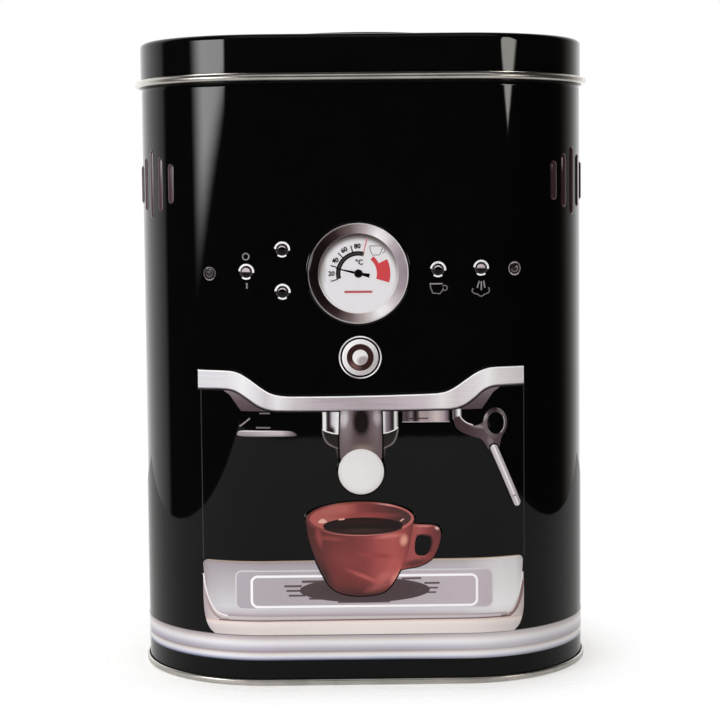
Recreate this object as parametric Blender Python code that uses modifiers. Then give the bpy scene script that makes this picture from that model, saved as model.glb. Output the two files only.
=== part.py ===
"""A tall coffee tin with rounded corners: embossed body wall, seamed bottom end and slip lid.

Metres, +Z up. The origin is the middle of the footprint, on the surface that the tin stands on.
The embossed front faces -Y. Each piece is one sheet of tinplate, drawn as the open surface that
faces outwards and given its thickness by Solidify.
"""

import math

import bmesh
import bpy
from mathutils import Vector
from mathutils.geometry import delaunay_2d_cdt

MM = 0.001

# Overall sizes, measured on the body wall and over the lid's flat top.
WIDTH = 138.0 * MM
DEPTH = 90.0 * MM
HEIGHT = 194.2 * MM
CORNER_RADIUS = 40.0 * MM
LEAST_FLAT = 3.0 * MM

# Sheet and fit.
SHEET = 0.3 * MM
CLEARANCE = 0.3 * MM

# Lid.
LID_DROP = 13.8 * MM
LID_EDGE_RADIUS = 1.5 * MM
BEAD_RADIUS = 1.05 * MM
BEAD_TURN = 295.0
BOSS_RADIUS = 35.0 * MM
BOSS_HEIGHT = 1.2 * MM
BOSS_SLOPE = 1.0 * MM

# Mouth of the body wall, drawn in so that the lid's skirt lies nearly flush.
NECK_DEPTH = 0.35 * MM
NECK_LENGTH = 0.9 * MM
MOUTH_CURL_RADIUS = 1.0 * MM
MOUTH_CURL_TURN = 260.0

# Bottom end.
PANEL_RISE = 2.7 * MM
PANEL_CORNER = 0.5 * MM
FOOT_RADIUS = 0.45 * MM
RIM_HEIGHT = 1.9 * MM
RIM_REACH = 0.85 * MM
RIM_LIP_RADIUS = 0.5 * MM

# Lap seam up the back.
SEAM_WIDTH = 3.6 * MM
SEAM_HEIGHT = 0.3 * MM
SEAM_INSET = 3.0 * MM

# Embossing of the front, laid out on the flat sheet as (distance from the middle, height).
EMBOSS = 0.5 * MM
EMBOSS_SLOPE = 0.7 * MM
PRINT_REGISTER = -1.0 * MM
GAUGE_CENTRE = (-0.5 * MM, 123.8 * MM)
GAUGE_RADIUS = 15.0 * MM
BAR_HALF_LENGTH = 49.5 * MM
BAR_CURVE = (39.0 * MM, 23.5 * MM)
BAR_END = (89.6 * MM, 95.2 * MM)
BAR_MIDDLE = (83.0 * MM, 87.3 * MM)
KNOB_CENTRE = (-0.3 * MM, 64.7 * MM)
KNOB_RADIUS = 6.8 * MM
HANDLE_HALF_WIDTH = 5.6 * MM
HANDLE_TOP = 77.0 * MM
WAND_ENDS = ((39.4 * MM, 71.0 * MM), (46.8 * MM, 54.8 * MM))
WAND_WIDTH = 2.4 * MM
CUP_RIM_CENTRE = (-0.8 * MM, 50.4 * MM)
CUP_RIM = (16.2 * MM, 5.2 * MM)
CUP_SIDE = ((15.0 * MM, 44.0 * MM), (12.9 * MM, 37.5 * MM), (10.0 * MM, 31.6 * MM), (6.9 * MM, 28.0 * MM))
CUP_HANDLE = ((15.5 * MM, 46.8 * MM), (21.6 * MM, 46.6 * MM), (20.4 * MM, 39.0 * MM), (13.5 * MM, 36.6 * MM))
CUP_HANDLE_WIDTH = 2.8 * MM
VENT_TURN = 62.0
VENT_MIDDLE = 151.8 * MM
VENT_PITCH = 5.75 * MM
VENT_WIDTH = 3.3 * MM
VENT_LENGTHS = (12.0 * MM, 16.4 * MM, 20.9 * MM, 16.4 * MM, 12.0 * MM)

# Facets.
CORNER_STEPS = 12
FRONT_STEPS = 8
ROUND_STEPS = 3
CURL_STEPS = 9
DISC_STEPS = 32
CAPSULE_STEPS = 4

# What follows from the sizes above.
CORNER = min(CORNER_RADIUS, min(WIDTH, DEPTH) / 2 - LEAST_FLAT)
HALF_FRONT = WIDTH / 2 - CORNER
HALF_SIDE = DEPTH / 2 - CORNER
CORNER_ARC = CORNER * math.pi / 2
HALF_GIRTH = HALF_FRONT + 2 * CORNER_ARC + 2 * HALF_SIDE + HALF_FRONT
GIRTH = 2 * HALF_GIRTH
SHEET_JOIN = HALF_FRONT / 2 - HALF_GIRTH

LID_INNER = -NECK_DEPTH + CLEARANCE
LID_FOOT = HEIGHT - LID_DROP
NECK_TOP = LID_FOOT - CLEARANCE
WALL_TOP = HEIGHT - SHEET - CLEARANCE
WALL_FOOT = SHEET + CLEARANCE


def wall_point(along, offset):
    """The point at a distance along the wall from the middle of the front, moved outwards by offset."""
    along = (along + HALF_GIRTH) % GIRTH - HALF_GIRTH
    reach = abs(along)
    radius = CORNER + offset
    if reach <= HALF_FRONT:
        x, y = reach, -HALF_SIDE - radius
    elif reach <= HALF_FRONT + CORNER_ARC:
        turn = (reach - HALF_FRONT) / CORNER
        x, y = HALF_FRONT + radius * math.sin(turn), -HALF_SIDE - radius * math.cos(turn)
    elif reach <= HALF_FRONT + CORNER_ARC + 2 * HALF_SIDE:
        x, y = HALF_FRONT + radius, reach - HALF_FRONT - CORNER_ARC - HALF_SIDE
    elif reach <= HALF_GIRTH - HALF_FRONT:
        turn = (reach - HALF_FRONT - CORNER_ARC - 2 * HALF_SIDE) / CORNER
        x, y = HALF_FRONT + radius * math.cos(turn), HALF_SIDE + radius * math.sin(turn)
    else:
        x, y = HALF_GIRTH - reach, HALF_SIDE + radius
    return Vector((math.copysign(x, along), y))


def stations(front_steps):
    """Distances along the wall at which its facets meet, once round from the back."""
    half = [HALF_FRONT * step / front_steps for step in range(front_steps)]
    half += [HALF_FRONT + CORNER_ARC * step / CORNER_STEPS for step in range(CORNER_STEPS + 1)]
    half += [HALF_GIRTH - place for place in reversed(half)]
    return [-place for place in reversed(half[1:-1])] + half


def arc(centre, radius, start, turn, steps):
    """Points (offset, height) on an arc of a section, from an angle in degrees and through a turn."""
    angles = [math.radians(start + turn * step / steps) for step in range(steps + 1)]
    return [(centre[0] + radius * math.cos(a), centre[1] + radius * math.sin(a)) for a in angles]


def ring(offset, height, places):
    """One turn of a shell: the wall's outline at an offset and a height."""
    return [wall_point(along, offset).to_3d() + Vector((0, 0, height)) for along in places]


def round_ring(radius, height, places):
    """A circle about the tin's axis with its points on the same bearings as the wall's outline."""
    return [(wall_point(along, 0).normalized() * radius).to_3d() + Vector((0, 0, height)) for along in places]


def sheet_piece(name, mesh, material, side):
    """The object for a mesh, with the sheet's thickness on the given side of its surface."""
    obj = bpy.data.objects.new(name, mesh)
    tin.objects.link(obj)
    mesh.materials.append(material)
    mesh.shade_smooth()
    mesh.set_sharp_from_angle(angle=math.radians(35))
    sheet = obj.modifiers.new("Sheet", "SOLIDIFY")
    sheet.thickness = SHEET
    sheet.offset = side
    return obj


def pressed_shell(name, rings, material, side):
    """A drawn pressing: the first ring is filled, and each later ring is extruded from the last."""
    bm = bmesh.new()
    place = bm.verts.layers.int.new("place")
    first = bmesh.ops.create_circle(bm, segments=len(rings[0]), radius=1, cap_ends=True)["verts"]
    for index, vert in enumerate(first):
        vert[place] = index
        vert.co = rings[0][index]
    bm.normal_update()
    if bm.faces[:][0].normal.z < 0:
        bmesh.ops.reverse_faces(bm, faces=bm.faces[:])
    edges = bm.edges[:]
    for points in rings[1:]:
        made = bmesh.ops.extrude_edge_only(bm, edges=edges)["geom"]
        edges = [item for item in made if isinstance(item, bmesh.types.BMEdge)]
        edges = [edge for edge in edges if edge.is_boundary]
        for vert in {vert for edge in edges for vert in edge.verts}:
            vert.co = points[vert[place]]
    mesh = bpy.data.meshes.new(name)
    bm.to_mesh(mesh)
    bm.free()
    return sheet_piece(name, mesh, material, side)


def disc(centre, radius):
    """The outline of a circle."""
    angles = [math.tau * step / DISC_STEPS for step in range(DISC_STEPS)]
    return [Vector((centre[0] + radius * math.cos(a), centre[1] + radius * math.sin(a))) for a in angles]


def capsule(start, end, width):
    """The outline of a straight slot with round ends."""
    start, end = Vector(start), Vector(end)
    heading = math.degrees(math.atan2(end.y - start.y, end.x - start.x))
    points = arc(end, width / 2, heading - 90, 180, CAPSULE_STEPS)
    points += arc(start, width / 2, heading + 90, 180, CAPSULE_STEPS)
    return [Vector(point) for point in points]


def smooth_step(value):
    """A share from 0 to 1, eased at both ends."""
    value = min(max(value, 0.0), 1.0)
    return value * value * (3 - 2 * value)


def bar_outline():
    """The bar across the front: level ends joined by S bends to a lower middle."""
    outer, inner = BAR_CURVE
    bends = [outer + (inner - outer) * step / 4 for step in range(5)]
    half = [BAR_HALF_LENGTH] + bends
    edges = []
    for end, middle, order in ((BAR_END[0], BAR_MIDDLE[0], 1), (BAR_END[1], BAR_MIDDLE[1], -1)):
        run = [(reach, end + (middle - end) * smooth_step((outer - reach) / (outer - inner))) for reach in half]
        edge = [Vector((-reach, height)) for reach, height in run]
        edge += [Vector((reach, height)) for reach, height in reversed(run)]
        edges += edge[::order]
    return edges


def handle_outline():
    """The handle seen end on, under the middle of the bar: a round knob on a straight neck."""
    opening = math.degrees(math.asin(HANDLE_HALF_WIDTH / KNOB_RADIUS))
    knob = arc(KNOB_CENTRE, KNOB_RADIUS, 90 + opening, 360 - 2 * opening, DISC_STEPS // 2)
    left, right = KNOB_CENTRE[0] - HANDLE_HALF_WIDTH, KNOB_CENTRE[0] + HANDLE_HALF_WIDTH
    return [Vector(point) for point in knob + [(right, HANDLE_TOP), (left, HANDLE_TOP)]]


def cup_outline():
    """The cup: the far half of its rim, then the sides down to the foot."""
    angles = [math.pi * step / 12 for step in range(13)]
    x, z = CUP_RIM_CENTRE
    rim = [Vector((x + CUP_RIM[0] * math.cos(a), z + CUP_RIM[1] * math.sin(a))) for a in angles]
    left = [Vector((x - reach, height)) for reach, height in CUP_SIDE]
    right = [Vector((x + reach, height)) for reach, height in reversed(CUP_SIDE)]
    return rim + left + right


def vent_outlines():
    """Five upright slots round each front corner, the middle one longest."""
    outlines = []
    middle = HALF_FRONT + CORNER * math.radians(VENT_TURN)
    for side in (-1, 1):
        for index, length in enumerate(VENT_LENGTHS):
            along = side * (middle + VENT_PITCH * (index - (len(VENT_LENGTHS) - 1) / 2))
            half = (length - VENT_WIDTH) / 2
            low, high = (along, VENT_MIDDLE - half), (along, VENT_MIDDLE + half)
            outlines.append(capsule(low, high, VENT_WIDTH))
    return outlines


def seam_outline():
    """The lap of the sheet's two ends, up the middle of the back between the rim and the lid."""
    low, high = RIM_HEIGHT + SEAM_INSET, NECK_TOP - NECK_LENGTH - SEAM_INSET
    left, right = HALF_GIRTH - SEAM_WIDTH / 2, HALF_GIRTH + SEAM_WIDTH / 2
    return [Vector(point) for point in ((left, low), (right, low), (right, high), (left, high))]


def grown(outline, distance):
    """An outline moved outwards. It runs counter-clockwise, so outwards is on its right."""
    points = []
    for index, point in enumerate(outline):
        before = (point - outline[index - 1]).normalized()
        after = (outline[(index + 1) % len(outline)] - point).normalized()
        middle = (before + after).normalized()
        stretch = 1 / max(middle.dot(after), 0.5)
        points.append(point + Vector((middle.y, -middle.x)) * distance * stretch)
    return points


def in_outline(outline, point):
    """True inside an outline and on it."""
    inside = False
    for index, end in enumerate(outline):
        start = outline[index - 1]
        run = end - start
        share = min(max((point - start).dot(run) / run.length_squared, 0.0), 1.0)
        if (start + run * share - point).length < 1e-6:
            return True
        if (start.y > point.y) != (end.y > point.y):
            if point.x < start.x + run.x * (point.y - start.y) / run.y:
                inside = not inside
    return inside


def wall_section():
    """The body wall's section as (offset, height), from the foot up and round the mouth's curl."""
    curl_centre = (-NECK_DEPTH - MOUTH_CURL_RADIUS, WALL_TOP - MOUTH_CURL_RADIUS)
    curl = arc(curl_centre, MOUTH_CURL_RADIUS, 0, MOUTH_CURL_TURN, CURL_STEPS)
    return [(0.0, WALL_FOOT), (0.0, NECK_TOP - NECK_LENGTH), (-NECK_DEPTH, NECK_TOP)] + curl


def section_point(section, rows, row):
    """The (offset, height) at a distance up the section."""
    for index in range(1, len(rows)):
        if row <= rows[index] or index == len(rows) - 1:
            share = (row - rows[index - 1]) / (rows[index] - rows[index - 1])
            return Vector(section[index - 1]).lerp(Vector(section[index]), share)
    return Vector(section[-1])


def body_wall(material):
    """One sheet, embossed flat and then rolled: its outline, folds and embossing are cut together."""
    section = wall_section()
    rows = [section[0][1]]
    for last, point in zip(section, section[1:]):
        rows.append(rows[-1] + math.dist(last, point))
    start, end = SHEET_JOIN, SHEET_JOIN + GIRTH
    columns = [along if along > start else along + GIRTH for along in stations(1)]
    columns = [start, end] + columns

    art = [disc(GAUGE_CENTRE, GAUGE_RADIUS), bar_outline(), handle_outline(), cup_outline()]
    art.append(capsule(*WAND_ENDS, WAND_WIDTH))
    art += [capsule(*ends, CUP_HANDLE_WIDTH) for ends in zip(CUP_HANDLE, CUP_HANDLE[1:])]
    art += vent_outlines()
    register = Vector((PRINT_REGISTER, 0))
    crests = [([point + register for point in outline], EMBOSS) for outline in art]
    crests.append((seam_outline(), SEAM_HEIGHT))

    points, edges = [], []
    for along in columns:
        edges.append((len(points), len(points) + 1))
        points += [Vector((along, rows[0])), Vector((along, rows[-1]))]
    for row in rows:
        edges.append((len(points), len(points) + 1))
        points += [Vector((start, row)), Vector((end, row))]
    for outline, _ in crests:
        for loop in (outline, grown(outline, EMBOSS_SLOPE)):
            first = len(points)
            edges += [(first + index, first + (index + 1) % len(loop)) for index in range(len(loop))]
            points += loop
    flat, _, faces, _, _, _ = delaunay_2d_cdt(points, edges, [], 4, 1e-7)

    bm = bmesh.new()
    for spot in flat:
        offset, height = section_point(section, rows, spot.y)
        relief = max([rise for outline, rise in crests if in_outline(outline, spot)], default=0.0)
        bm.verts.new(wall_point(spot.x, offset + relief).to_3d() + Vector((0, 0, height)))
    bm.verts.ensure_lookup_table()
    for face in faces:
        bm.faces.new([bm.verts[index] for index in face])
    bmesh.ops.remove_doubles(bm, verts=bm.verts[:], dist=1e-6)
    mesh = bpy.data.meshes.new("body_wall")
    bm.to_mesh(mesh)
    bm.free()
    return sheet_piece("body_wall", mesh, material, -1)


def bottom_end(material):
    """A panel set up inside the wall, with a rim that is turned out and up round the wall's foot."""
    inner = -2 * SHEET - CLEARANCE
    panel = arc((inner - PANEL_CORNER, PANEL_RISE - PANEL_CORNER), PANEL_CORNER, 90, -90, ROUND_STEPS)
    foot_in = arc((inner + FOOT_RADIUS, FOOT_RADIUS), FOOT_RADIUS, 180, 90, ROUND_STEPS)
    foot_out = arc((RIM_REACH - FOOT_RADIUS, FOOT_RADIUS), FOOT_RADIUS, -90, 90, ROUND_STEPS)
    lip_centre = (RIM_REACH - RIM_LIP_RADIUS, RIM_HEIGHT - RIM_LIP_RADIUS)
    lip = arc(lip_centre, RIM_LIP_RADIUS, 0, 90, ROUND_STEPS)
    places = stations(1)
    rings = [ring(offset, height, places) for offset, height in panel + foot_in + foot_out + lip]
    return pressed_shell("bottom_end", rings, material, 1)


def lid(material):
    """A drawn lid: a round boss on a flat top, a skirt, and a bead curled outwards along its edge.

    The surface drawn is the one that faces the wall, which is the bead's outside.
    """
    under = HEIGHT - SHEET
    inner_radius = LID_EDGE_RADIUS - SHEET
    edge_centre = (LID_INNER - inner_radius, under - inner_radius)
    edge = arc(edge_centre, inner_radius, 90, -90, ROUND_STEPS)
    bead_centre = (LID_INNER + BEAD_RADIUS, LID_FOOT + BEAD_RADIUS)
    bead = arc(bead_centre, BEAD_RADIUS, 180, BEAD_TURN, CURL_STEPS)
    places = stations(FRONT_STEPS)
    rings = [round_ring(BOSS_RADIUS - BOSS_SLOPE, under + BOSS_HEIGHT, places)]
    rings.append(round_ring(BOSS_RADIUS, under, places))
    rings += [ring(offset, height, places) for offset, height in edge + bead]
    return pressed_shell("lid", rings, material, 1)


def finish(name, colour, roughness, metallic, coat):
    """A material for one piece."""
    material = bpy.data.materials.new(name)
    material.use_nodes = True
    shader = material.node_tree.nodes["Principled BSDF"]
    shader.inputs["Base Color"].default_value = (*colour, 1)
    shader.inputs["Roughness"].default_value = roughness
    shader.inputs["Metallic"].default_value = metallic
    shader.inputs["Coat Weight"].default_value = coat
    return material


for leftover in list(bpy.data.objects):
    bpy.data.objects.remove(leftover, do_unlink=True)
tin = bpy.data.collections.new("coffee_tin")
bpy.context.scene.collection.children.link(tin)

body_wall(finish("printed_lacquer", (0.010, 0.009, 0.009), 0.12, 0.0, 1.0))
bottom_end(finish("bare_tinplate", (0.60, 0.58, 0.55), 0.32, 1.0, 0.0))
lid(finish("black_lacquer", (0.008, 0.008, 0.008), 0.10, 0.0, 1.0))
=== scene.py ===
"""Studio scene of a tall coffee tin: rolled lacquered wall, seamed bottom end and slip lid.

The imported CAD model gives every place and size. The wall's decoration is laid out on the flat
sheet, as a tin printer does, in millimetres: distance to the right of the middle of the front,
and height above the surface that the tin stands on. Each motif is a thin closed slab of ink,
or an embossed one, that is then rolled round the tin with the sheet.
"""

from __future__ import annotations

import logging
import math
from dataclasses import dataclass
from enum import Enum
from typing import Any, Sequence

import bmesh
import bpy
from mathutils import Matrix, Vector

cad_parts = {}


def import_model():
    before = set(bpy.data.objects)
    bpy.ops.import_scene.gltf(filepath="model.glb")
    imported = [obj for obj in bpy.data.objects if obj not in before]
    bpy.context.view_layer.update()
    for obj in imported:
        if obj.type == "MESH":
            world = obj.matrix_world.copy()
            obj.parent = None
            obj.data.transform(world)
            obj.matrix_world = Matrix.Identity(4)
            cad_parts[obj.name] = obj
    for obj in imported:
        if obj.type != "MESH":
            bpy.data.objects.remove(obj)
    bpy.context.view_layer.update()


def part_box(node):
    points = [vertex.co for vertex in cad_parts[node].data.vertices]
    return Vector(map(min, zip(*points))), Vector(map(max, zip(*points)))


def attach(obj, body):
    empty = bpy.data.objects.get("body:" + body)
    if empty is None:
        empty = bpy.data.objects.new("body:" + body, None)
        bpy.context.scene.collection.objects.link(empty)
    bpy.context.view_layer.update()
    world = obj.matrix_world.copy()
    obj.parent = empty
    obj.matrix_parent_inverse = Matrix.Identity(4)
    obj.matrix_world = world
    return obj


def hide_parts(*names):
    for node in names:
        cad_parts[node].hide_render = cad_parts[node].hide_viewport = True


MM = 0.001
UV_NAME = "sheet"
log = logging.getLogger("coffee_tin")

Point = tuple[float, float]
Outline = list[Point]
Stop = tuple[float, str]


# --------------------------------------------------------------------------- colour and nodes


def linear(colour: str) -> tuple[float, float, float, float]:
    """Turns an sRGB hex colour to linear.

    Args:
        colour: "#rrggbb", or "#rrggbbaa" with how much it covers.

    Returns:
        Red, green, blue and alpha.
    """
    parts = [int(colour[place : place + 2], 16) / 255 for place in range(1, len(colour), 2)]
    light = [part / 12.92 if part <= 0.04045 else ((part + 0.055) / 1.055) ** 2.4 for part in parts[:3]]
    return (light[0], light[1], light[2], parts[3] if len(parts) > 3 else 1.0)


def add_node(
    tree: bpy.types.NodeTree,
    kind: str,
    inputs: dict[Any, Any] | None = None,
    stops: Sequence[Stop] = (),
    **settings: Any,
) -> bpy.types.Node:
    """Adds one node with its settings and links.

    Args:
        tree: the tree that it goes into.
        kind: Blender's name for the node.
        inputs: for each socket, a value or the output that is linked to it.
        stops: a colour ramp's stops.
        settings: the node's own attributes.

    Returns:
        The node.
    """
    made = tree.nodes.new(kind)
    for name, value in settings.items():
        setattr(made, name, value)
    for socket, value in (inputs or {}).items():
        if isinstance(value, bpy.types.NodeSocket):
            tree.links.new(value, made.inputs[socket])
        else:
            made.inputs[socket].default_value = value
    for index, (place, colour) in enumerate(stops):
        ramp = made.color_ramp.elements
        element = ramp[index] if index < min(2, len(ramp)) else ramp.new(place)
        element.position = place
        element.color = linear(colour)
    return made


# --------------------------------------------------------------------------- finishes


class Spread(Enum):
    """How a wash of colour fades across the sheet."""

    STRAIGHT = "LINEAR"
    ROUND = "SPHERICAL"
    TURNING = "RADIAL"


@dataclass(frozen=True)
class Wash:
    """One pass of airbrushed colour in the printed artwork, placed on the flat sheet."""

    spread: Spread
    centre: Point
    reach: Point
    stops: tuple[Stop, ...]
    turn: float = 0.0


def across(*stops: Stop, turn: float = 0.0, start: Point = (0.0, 0.0)) -> Wash:
    """A straight blend whose stops are distances in mm from a start, to the right or at a turn.

    Args:
        stops: each distance with its colour, in order.
        turn: the way it runs, in degrees counter-clockwise from the right.
        start: where the distances are counted from.

    Returns:
        The wash.
    """
    low, high = stops[0][0], stops[-1][0]
    heading = math.radians(turn)
    centre = (start[0] + low * math.cos(heading), start[1] + low * math.sin(heading))
    shares = tuple(((place - low) / (high - low), colour) for place, colour in stops)
    return Wash(Spread.STRAIGHT, centre, (high - low, high - low), shares, turn)


def upward(*stops: Stop) -> Wash:
    """A straight blend whose stops are heights in mm."""
    return across(*stops, turn=90.0)


def spot(centre: Point, reach: Point, colour: str, turn: float = 0.0, core: float = 0.6) -> Wash:
    """A soft patch: full colour in its core, gone at its edge."""
    return Wash(Spread.ROUND, centre, reach, ((0.0, colour + "00"), (1.0 - core, colour + "ff")), turn)


def sweep(centre: Point, *stops: Stop) -> Wash:
    """A blend round a centre whose stops are degrees from -180 to 180, counter-clockwise from the right."""
    return Wash(
        Spread.TURNING, centre, (1, 1), tuple(((angle + 180) / 360, colour) for angle, colour in stops)
    )


@dataclass(frozen=True)
class Ink:
    """Offset litho ink under clear stoving varnish: flat pigment, even gloss, a fine printed mottle.

    The mottle stands for the halftone, which is far finer than shows and so is drawn at grain mm.
    Streak is the light and dark drawn along brushed metal in the artwork.
    """

    name: str
    ground: str
    washes: tuple[Wash, ...] = ()
    grain: float = 0.7
    mottle: float = 0.05
    streak: float = 0.0
    streak_turn: float = 0.0
    roughness: float = 0.38

    def material(self) -> bpy.types.Material:
        """Builds the material, or returns the one that is there.

        Returns:
            The material.
        """
        found = bpy.data.materials.get(self.name)
        if found:
            return found
        made = bpy.data.materials.new(self.name)
        made.use_nodes = True
        tree = made.node_tree
        tree.nodes.clear()
        sheet = add_node(tree, "ShaderNodeUVMap", uv_map=UV_NAME).outputs["UV"]
        colour: Any = linear(self.ground)
        for wash in self.washes:
            place = {
                "Vector": sheet,
                "Location": (*wash.centre, 0),
                "Rotation": (0, 0, math.radians(wash.turn)),
                "Scale": (*wash.reach, 1),
            }
            spot_at = add_node(tree, "ShaderNodeMapping", place, vector_type="TEXTURE")
            fade = {"Vector": spot_at.outputs[0]}
            fade = add_node(tree, "ShaderNodeTexGradient", fade, gradient_type=wash.spread.value)
            ramp = add_node(tree, "ShaderNodeValToRGB", {"Fac": fade.outputs["Fac"]}, wash.stops)
            mixed = {0: ramp.outputs["Alpha"], 6: colour, 7: ramp.outputs["Color"]}
            colour = add_node(tree, "ShaderNodeMix", mixed, data_type="RGBA").outputs[2]
        flat = add_node(tree, "ShaderNodeTexCoord").outputs["Object"]
        dots = add_node(
            tree, "ShaderNodeTexNoise", {"Vector": flat, "Scale": 1 / (self.grain * MM), "Detail": 2.0}
        )
        mixed = {0: self.mottle, 6: colour, 7: dots.outputs["Fac"]}
        colour = add_node(tree, "ShaderNodeMix", mixed, data_type="RGBA", blend_type="OVERLAY").outputs[2]
        if self.streak:
            place = {
                "Vector": sheet, "Rotation": (0, 0, math.radians(self.streak_turn)), "Scale": (18, 0.45, 1)
            }
            drawn = add_node(tree, "ShaderNodeMapping", place, vector_type="TEXTURE").outputs[0]
            lines = add_node(tree, "ShaderNodeTexNoise", {"Vector": drawn, "Scale": 1.0, "Detail": 3.0})
            mixed = {0: self.streak, 6: colour, 7: lines.outputs["Fac"]}
            colour = add_node(tree, "ShaderNodeMix", mixed, data_type="RGBA", blend_type="OVERLAY").outputs[2]
        peel = add_node(tree, "ShaderNodeTexNoise", {"Vector": flat, "Scale": 1 / (1.4 * MM), "Detail": 1.0})
        bump = {"Height": peel.outputs["Fac"], "Strength": 0.15, "Distance": 0.01 * MM}
        shader = {
            "Base Color": colour,
            "Roughness": self.roughness,
            "Specular IOR Level": 0.0,
            "Coat Weight": 1.0,
            "Coat Roughness": 0.08,
            "Coat IOR": 1.22,
            "Normal": add_node(tree, "ShaderNodeBump", bump).outputs["Normal"],
        }
        shaded = add_node(tree, "ShaderNodeBsdfPrincipled", shader)
        add_node(tree, "ShaderNodeOutputMaterial", {"Surface": shaded.outputs["BSDF"]})
        return made


@dataclass(frozen=True)
class Lacquer:
    """Stoved gloss lacquer on thin tinplate: a deep mirror that wavers where the sheet isn't flat.

    Waver is the spacing in mm of the sheet's slow waves, and ripple that of the finer ones left by
    the rollers. Peel is the lacquer's own orange peel.
    """

    name: str
    colour: str
    gloss: float = 0.03
    waver: float = 26.0
    waver_height: float = 0.02
    ripple: float = 6.5
    ripple_height: float = 0.003
    peel: float = 1.5

    def material(self) -> bpy.types.Material:
        """Builds the material, or returns the one that is there.

        Returns:
            The material.
        """
        found = bpy.data.materials.get(self.name)
        if found:
            return found
        made = bpy.data.materials.new(self.name)
        made.use_nodes = True
        tree = made.node_tree
        tree.nodes.clear()
        flat = add_node(tree, "ShaderNodeTexCoord").outputs["Object"]
        normal: Any = None
        heights = ((self.waver, self.waver_height), (self.ripple, self.ripple_height), (self.peel, 0.0004))
        for spacing, height in heights:
            noise = add_node(
                tree, "ShaderNodeTexNoise", {"Vector": flat, "Scale": 1 / (spacing * MM), "Detail": 1.0}
            )
            bump = {"Height": noise.outputs["Fac"], "Strength": 1.0, "Distance": height * MM}
            if normal is not None:
                bump["Normal"] = normal
            normal = add_node(tree, "ShaderNodeBump", bump).outputs["Normal"]
        depth = add_node(tree, "ShaderNodeTexNoise", {"Vector": flat, "Scale": 1 / (9 * MM), "Detail": 4.0})
        mixed = {0: 0.25, 6: linear(self.colour), 7: depth.outputs["Fac"]}
        colour = add_node(tree, "ShaderNodeMix", mixed, data_type="RGBA", blend_type="OVERLAY").outputs[2]
        shader = {
            "Base Color": colour,
            "Roughness": 0.4,
            "Specular IOR Level": 0.0,
            "Coat Weight": 1.0,
            "Coat Roughness": self.gloss,
            "Coat IOR": 1.22,
            "Coat Normal": normal,
            "Normal": normal,
        }
        shaded = add_node(tree, "ShaderNodeBsdfPrincipled", shader)
        add_node(tree, "ShaderNodeOutputMaterial", {"Surface": shaded.outputs["BSDF"]})
        return made


@dataclass(frozen=True)
class Tinplate:
    """Bright rolled tinplate: tin on steel, with the mill's fine lines and a faint uneven bloom."""

    name: str
    colour: str
    roughness: float = 0.3
    run: tuple[float, float, float] = (30.0, 30.0, 0.5)

    def material(self) -> bpy.types.Material:
        """Builds the material, or returns the one that is there.

        Returns:
            The material.
        """
        found = bpy.data.materials.get(self.name)
        if found:
            return found
        made = bpy.data.materials.new(self.name)
        made.use_nodes = True
        tree = made.node_tree
        tree.nodes.clear()
        flat = add_node(tree, "ShaderNodeTexCoord").outputs["Object"]
        place = {"Vector": flat, "Scale": tuple(length * MM for length in self.run)}
        drawn = add_node(tree, "ShaderNodeMapping", place, vector_type="TEXTURE").outputs[0]
        lines = add_node(tree, "ShaderNodeTexNoise", {"Vector": drawn, "Scale": 1.0, "Detail": 3.0})
        bloom = add_node(tree, "ShaderNodeTexNoise", {"Vector": flat, "Scale": 1 / (7 * MM), "Detail": 3.0})
        mixed = {0: 0.35, 6: linear(self.colour), 7: bloom.outputs["Fac"]}
        colour = add_node(tree, "ShaderNodeMix", mixed, data_type="RGBA", blend_type="OVERLAY").outputs[2]
        rough = {"Value": lines.outputs["Fac"], 3: self.roughness - 0.08, 4: self.roughness + 0.1}
        bump = {"Height": lines.outputs["Fac"], "Strength": 0.5, "Distance": 0.01 * MM}
        shader = {
            "Base Color": colour,
            "Metallic": 1.0,
            "Roughness": add_node(tree, "ShaderNodeMapRange", rough).outputs[0],
            "Normal": add_node(tree, "ShaderNodeBump", bump).outputs["Normal"],
        }
        shaded = add_node(tree, "ShaderNodeBsdfPrincipled", shader)
        add_node(tree, "ShaderNodeOutputMaterial", {"Surface": shaded.outputs["BSDF"]})
        return made


Finish = Ink | Lacquer | Tinplate

BLACK_LACQUER = Lacquer("gloss_black_lacquer", "#060606")
LID_LACQUER = Lacquer("gloss_black_lid_lacquer", "#080808")
BROWN_LACQUER = Lacquer("gloss_coffee_brown_lacquer", "#2a1b12")
BARE_TINPLATE = Tinplate("bright_rolled_tinplate", "#aba7a1")


# --------------------------------------------------------------------------- outlines on the flat sheet


def ellipse(centre: Point, reach: Point | float, steps: int = 72) -> Outline:
    """The outline of a circle or an ellipse.

    Args:
        centre: its middle.
        reach: its radius, or its half width and half height.
        steps: how many points it has.

    Returns:
        The outline, counter-clockwise.
    """
    wide, tall = (reach, reach) if isinstance(reach, (int, float)) else reach
    angles = [math.tau * step / steps for step in range(steps)]
    return [(centre[0] + wide * math.cos(a), centre[1] + tall * math.sin(a)) for a in angles]


def arc(centre: Point, reach: Point | float, start: float, turn: float, steps: int = 24) -> Outline:
    """Points on part of a circle or an ellipse, from an angle in degrees and through a turn.

    Args:
        centre: its middle.
        reach: its radius, or its half width and half height.
        start: the angle of the first point.
        turn: how far it goes, counter-clockwise where it is positive.
        steps: how many parts it is cut into.

    Returns:
        The points, with both ends.
    """
    wide, tall = (reach, reach) if isinstance(reach, (int, float)) else reach
    angles = [math.radians(start + turn * step / steps) for step in range(steps + 1)]
    return [(centre[0] + wide * math.cos(a), centre[1] + tall * math.sin(a)) for a in angles]


def arc_band(centre: Point, inner: float, outer: float, start: float, turn: float) -> Outline:
    """A strip bent round a centre."""
    return arc(centre, outer, start, turn) + arc(centre, inner, start + turn, -turn)


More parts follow.
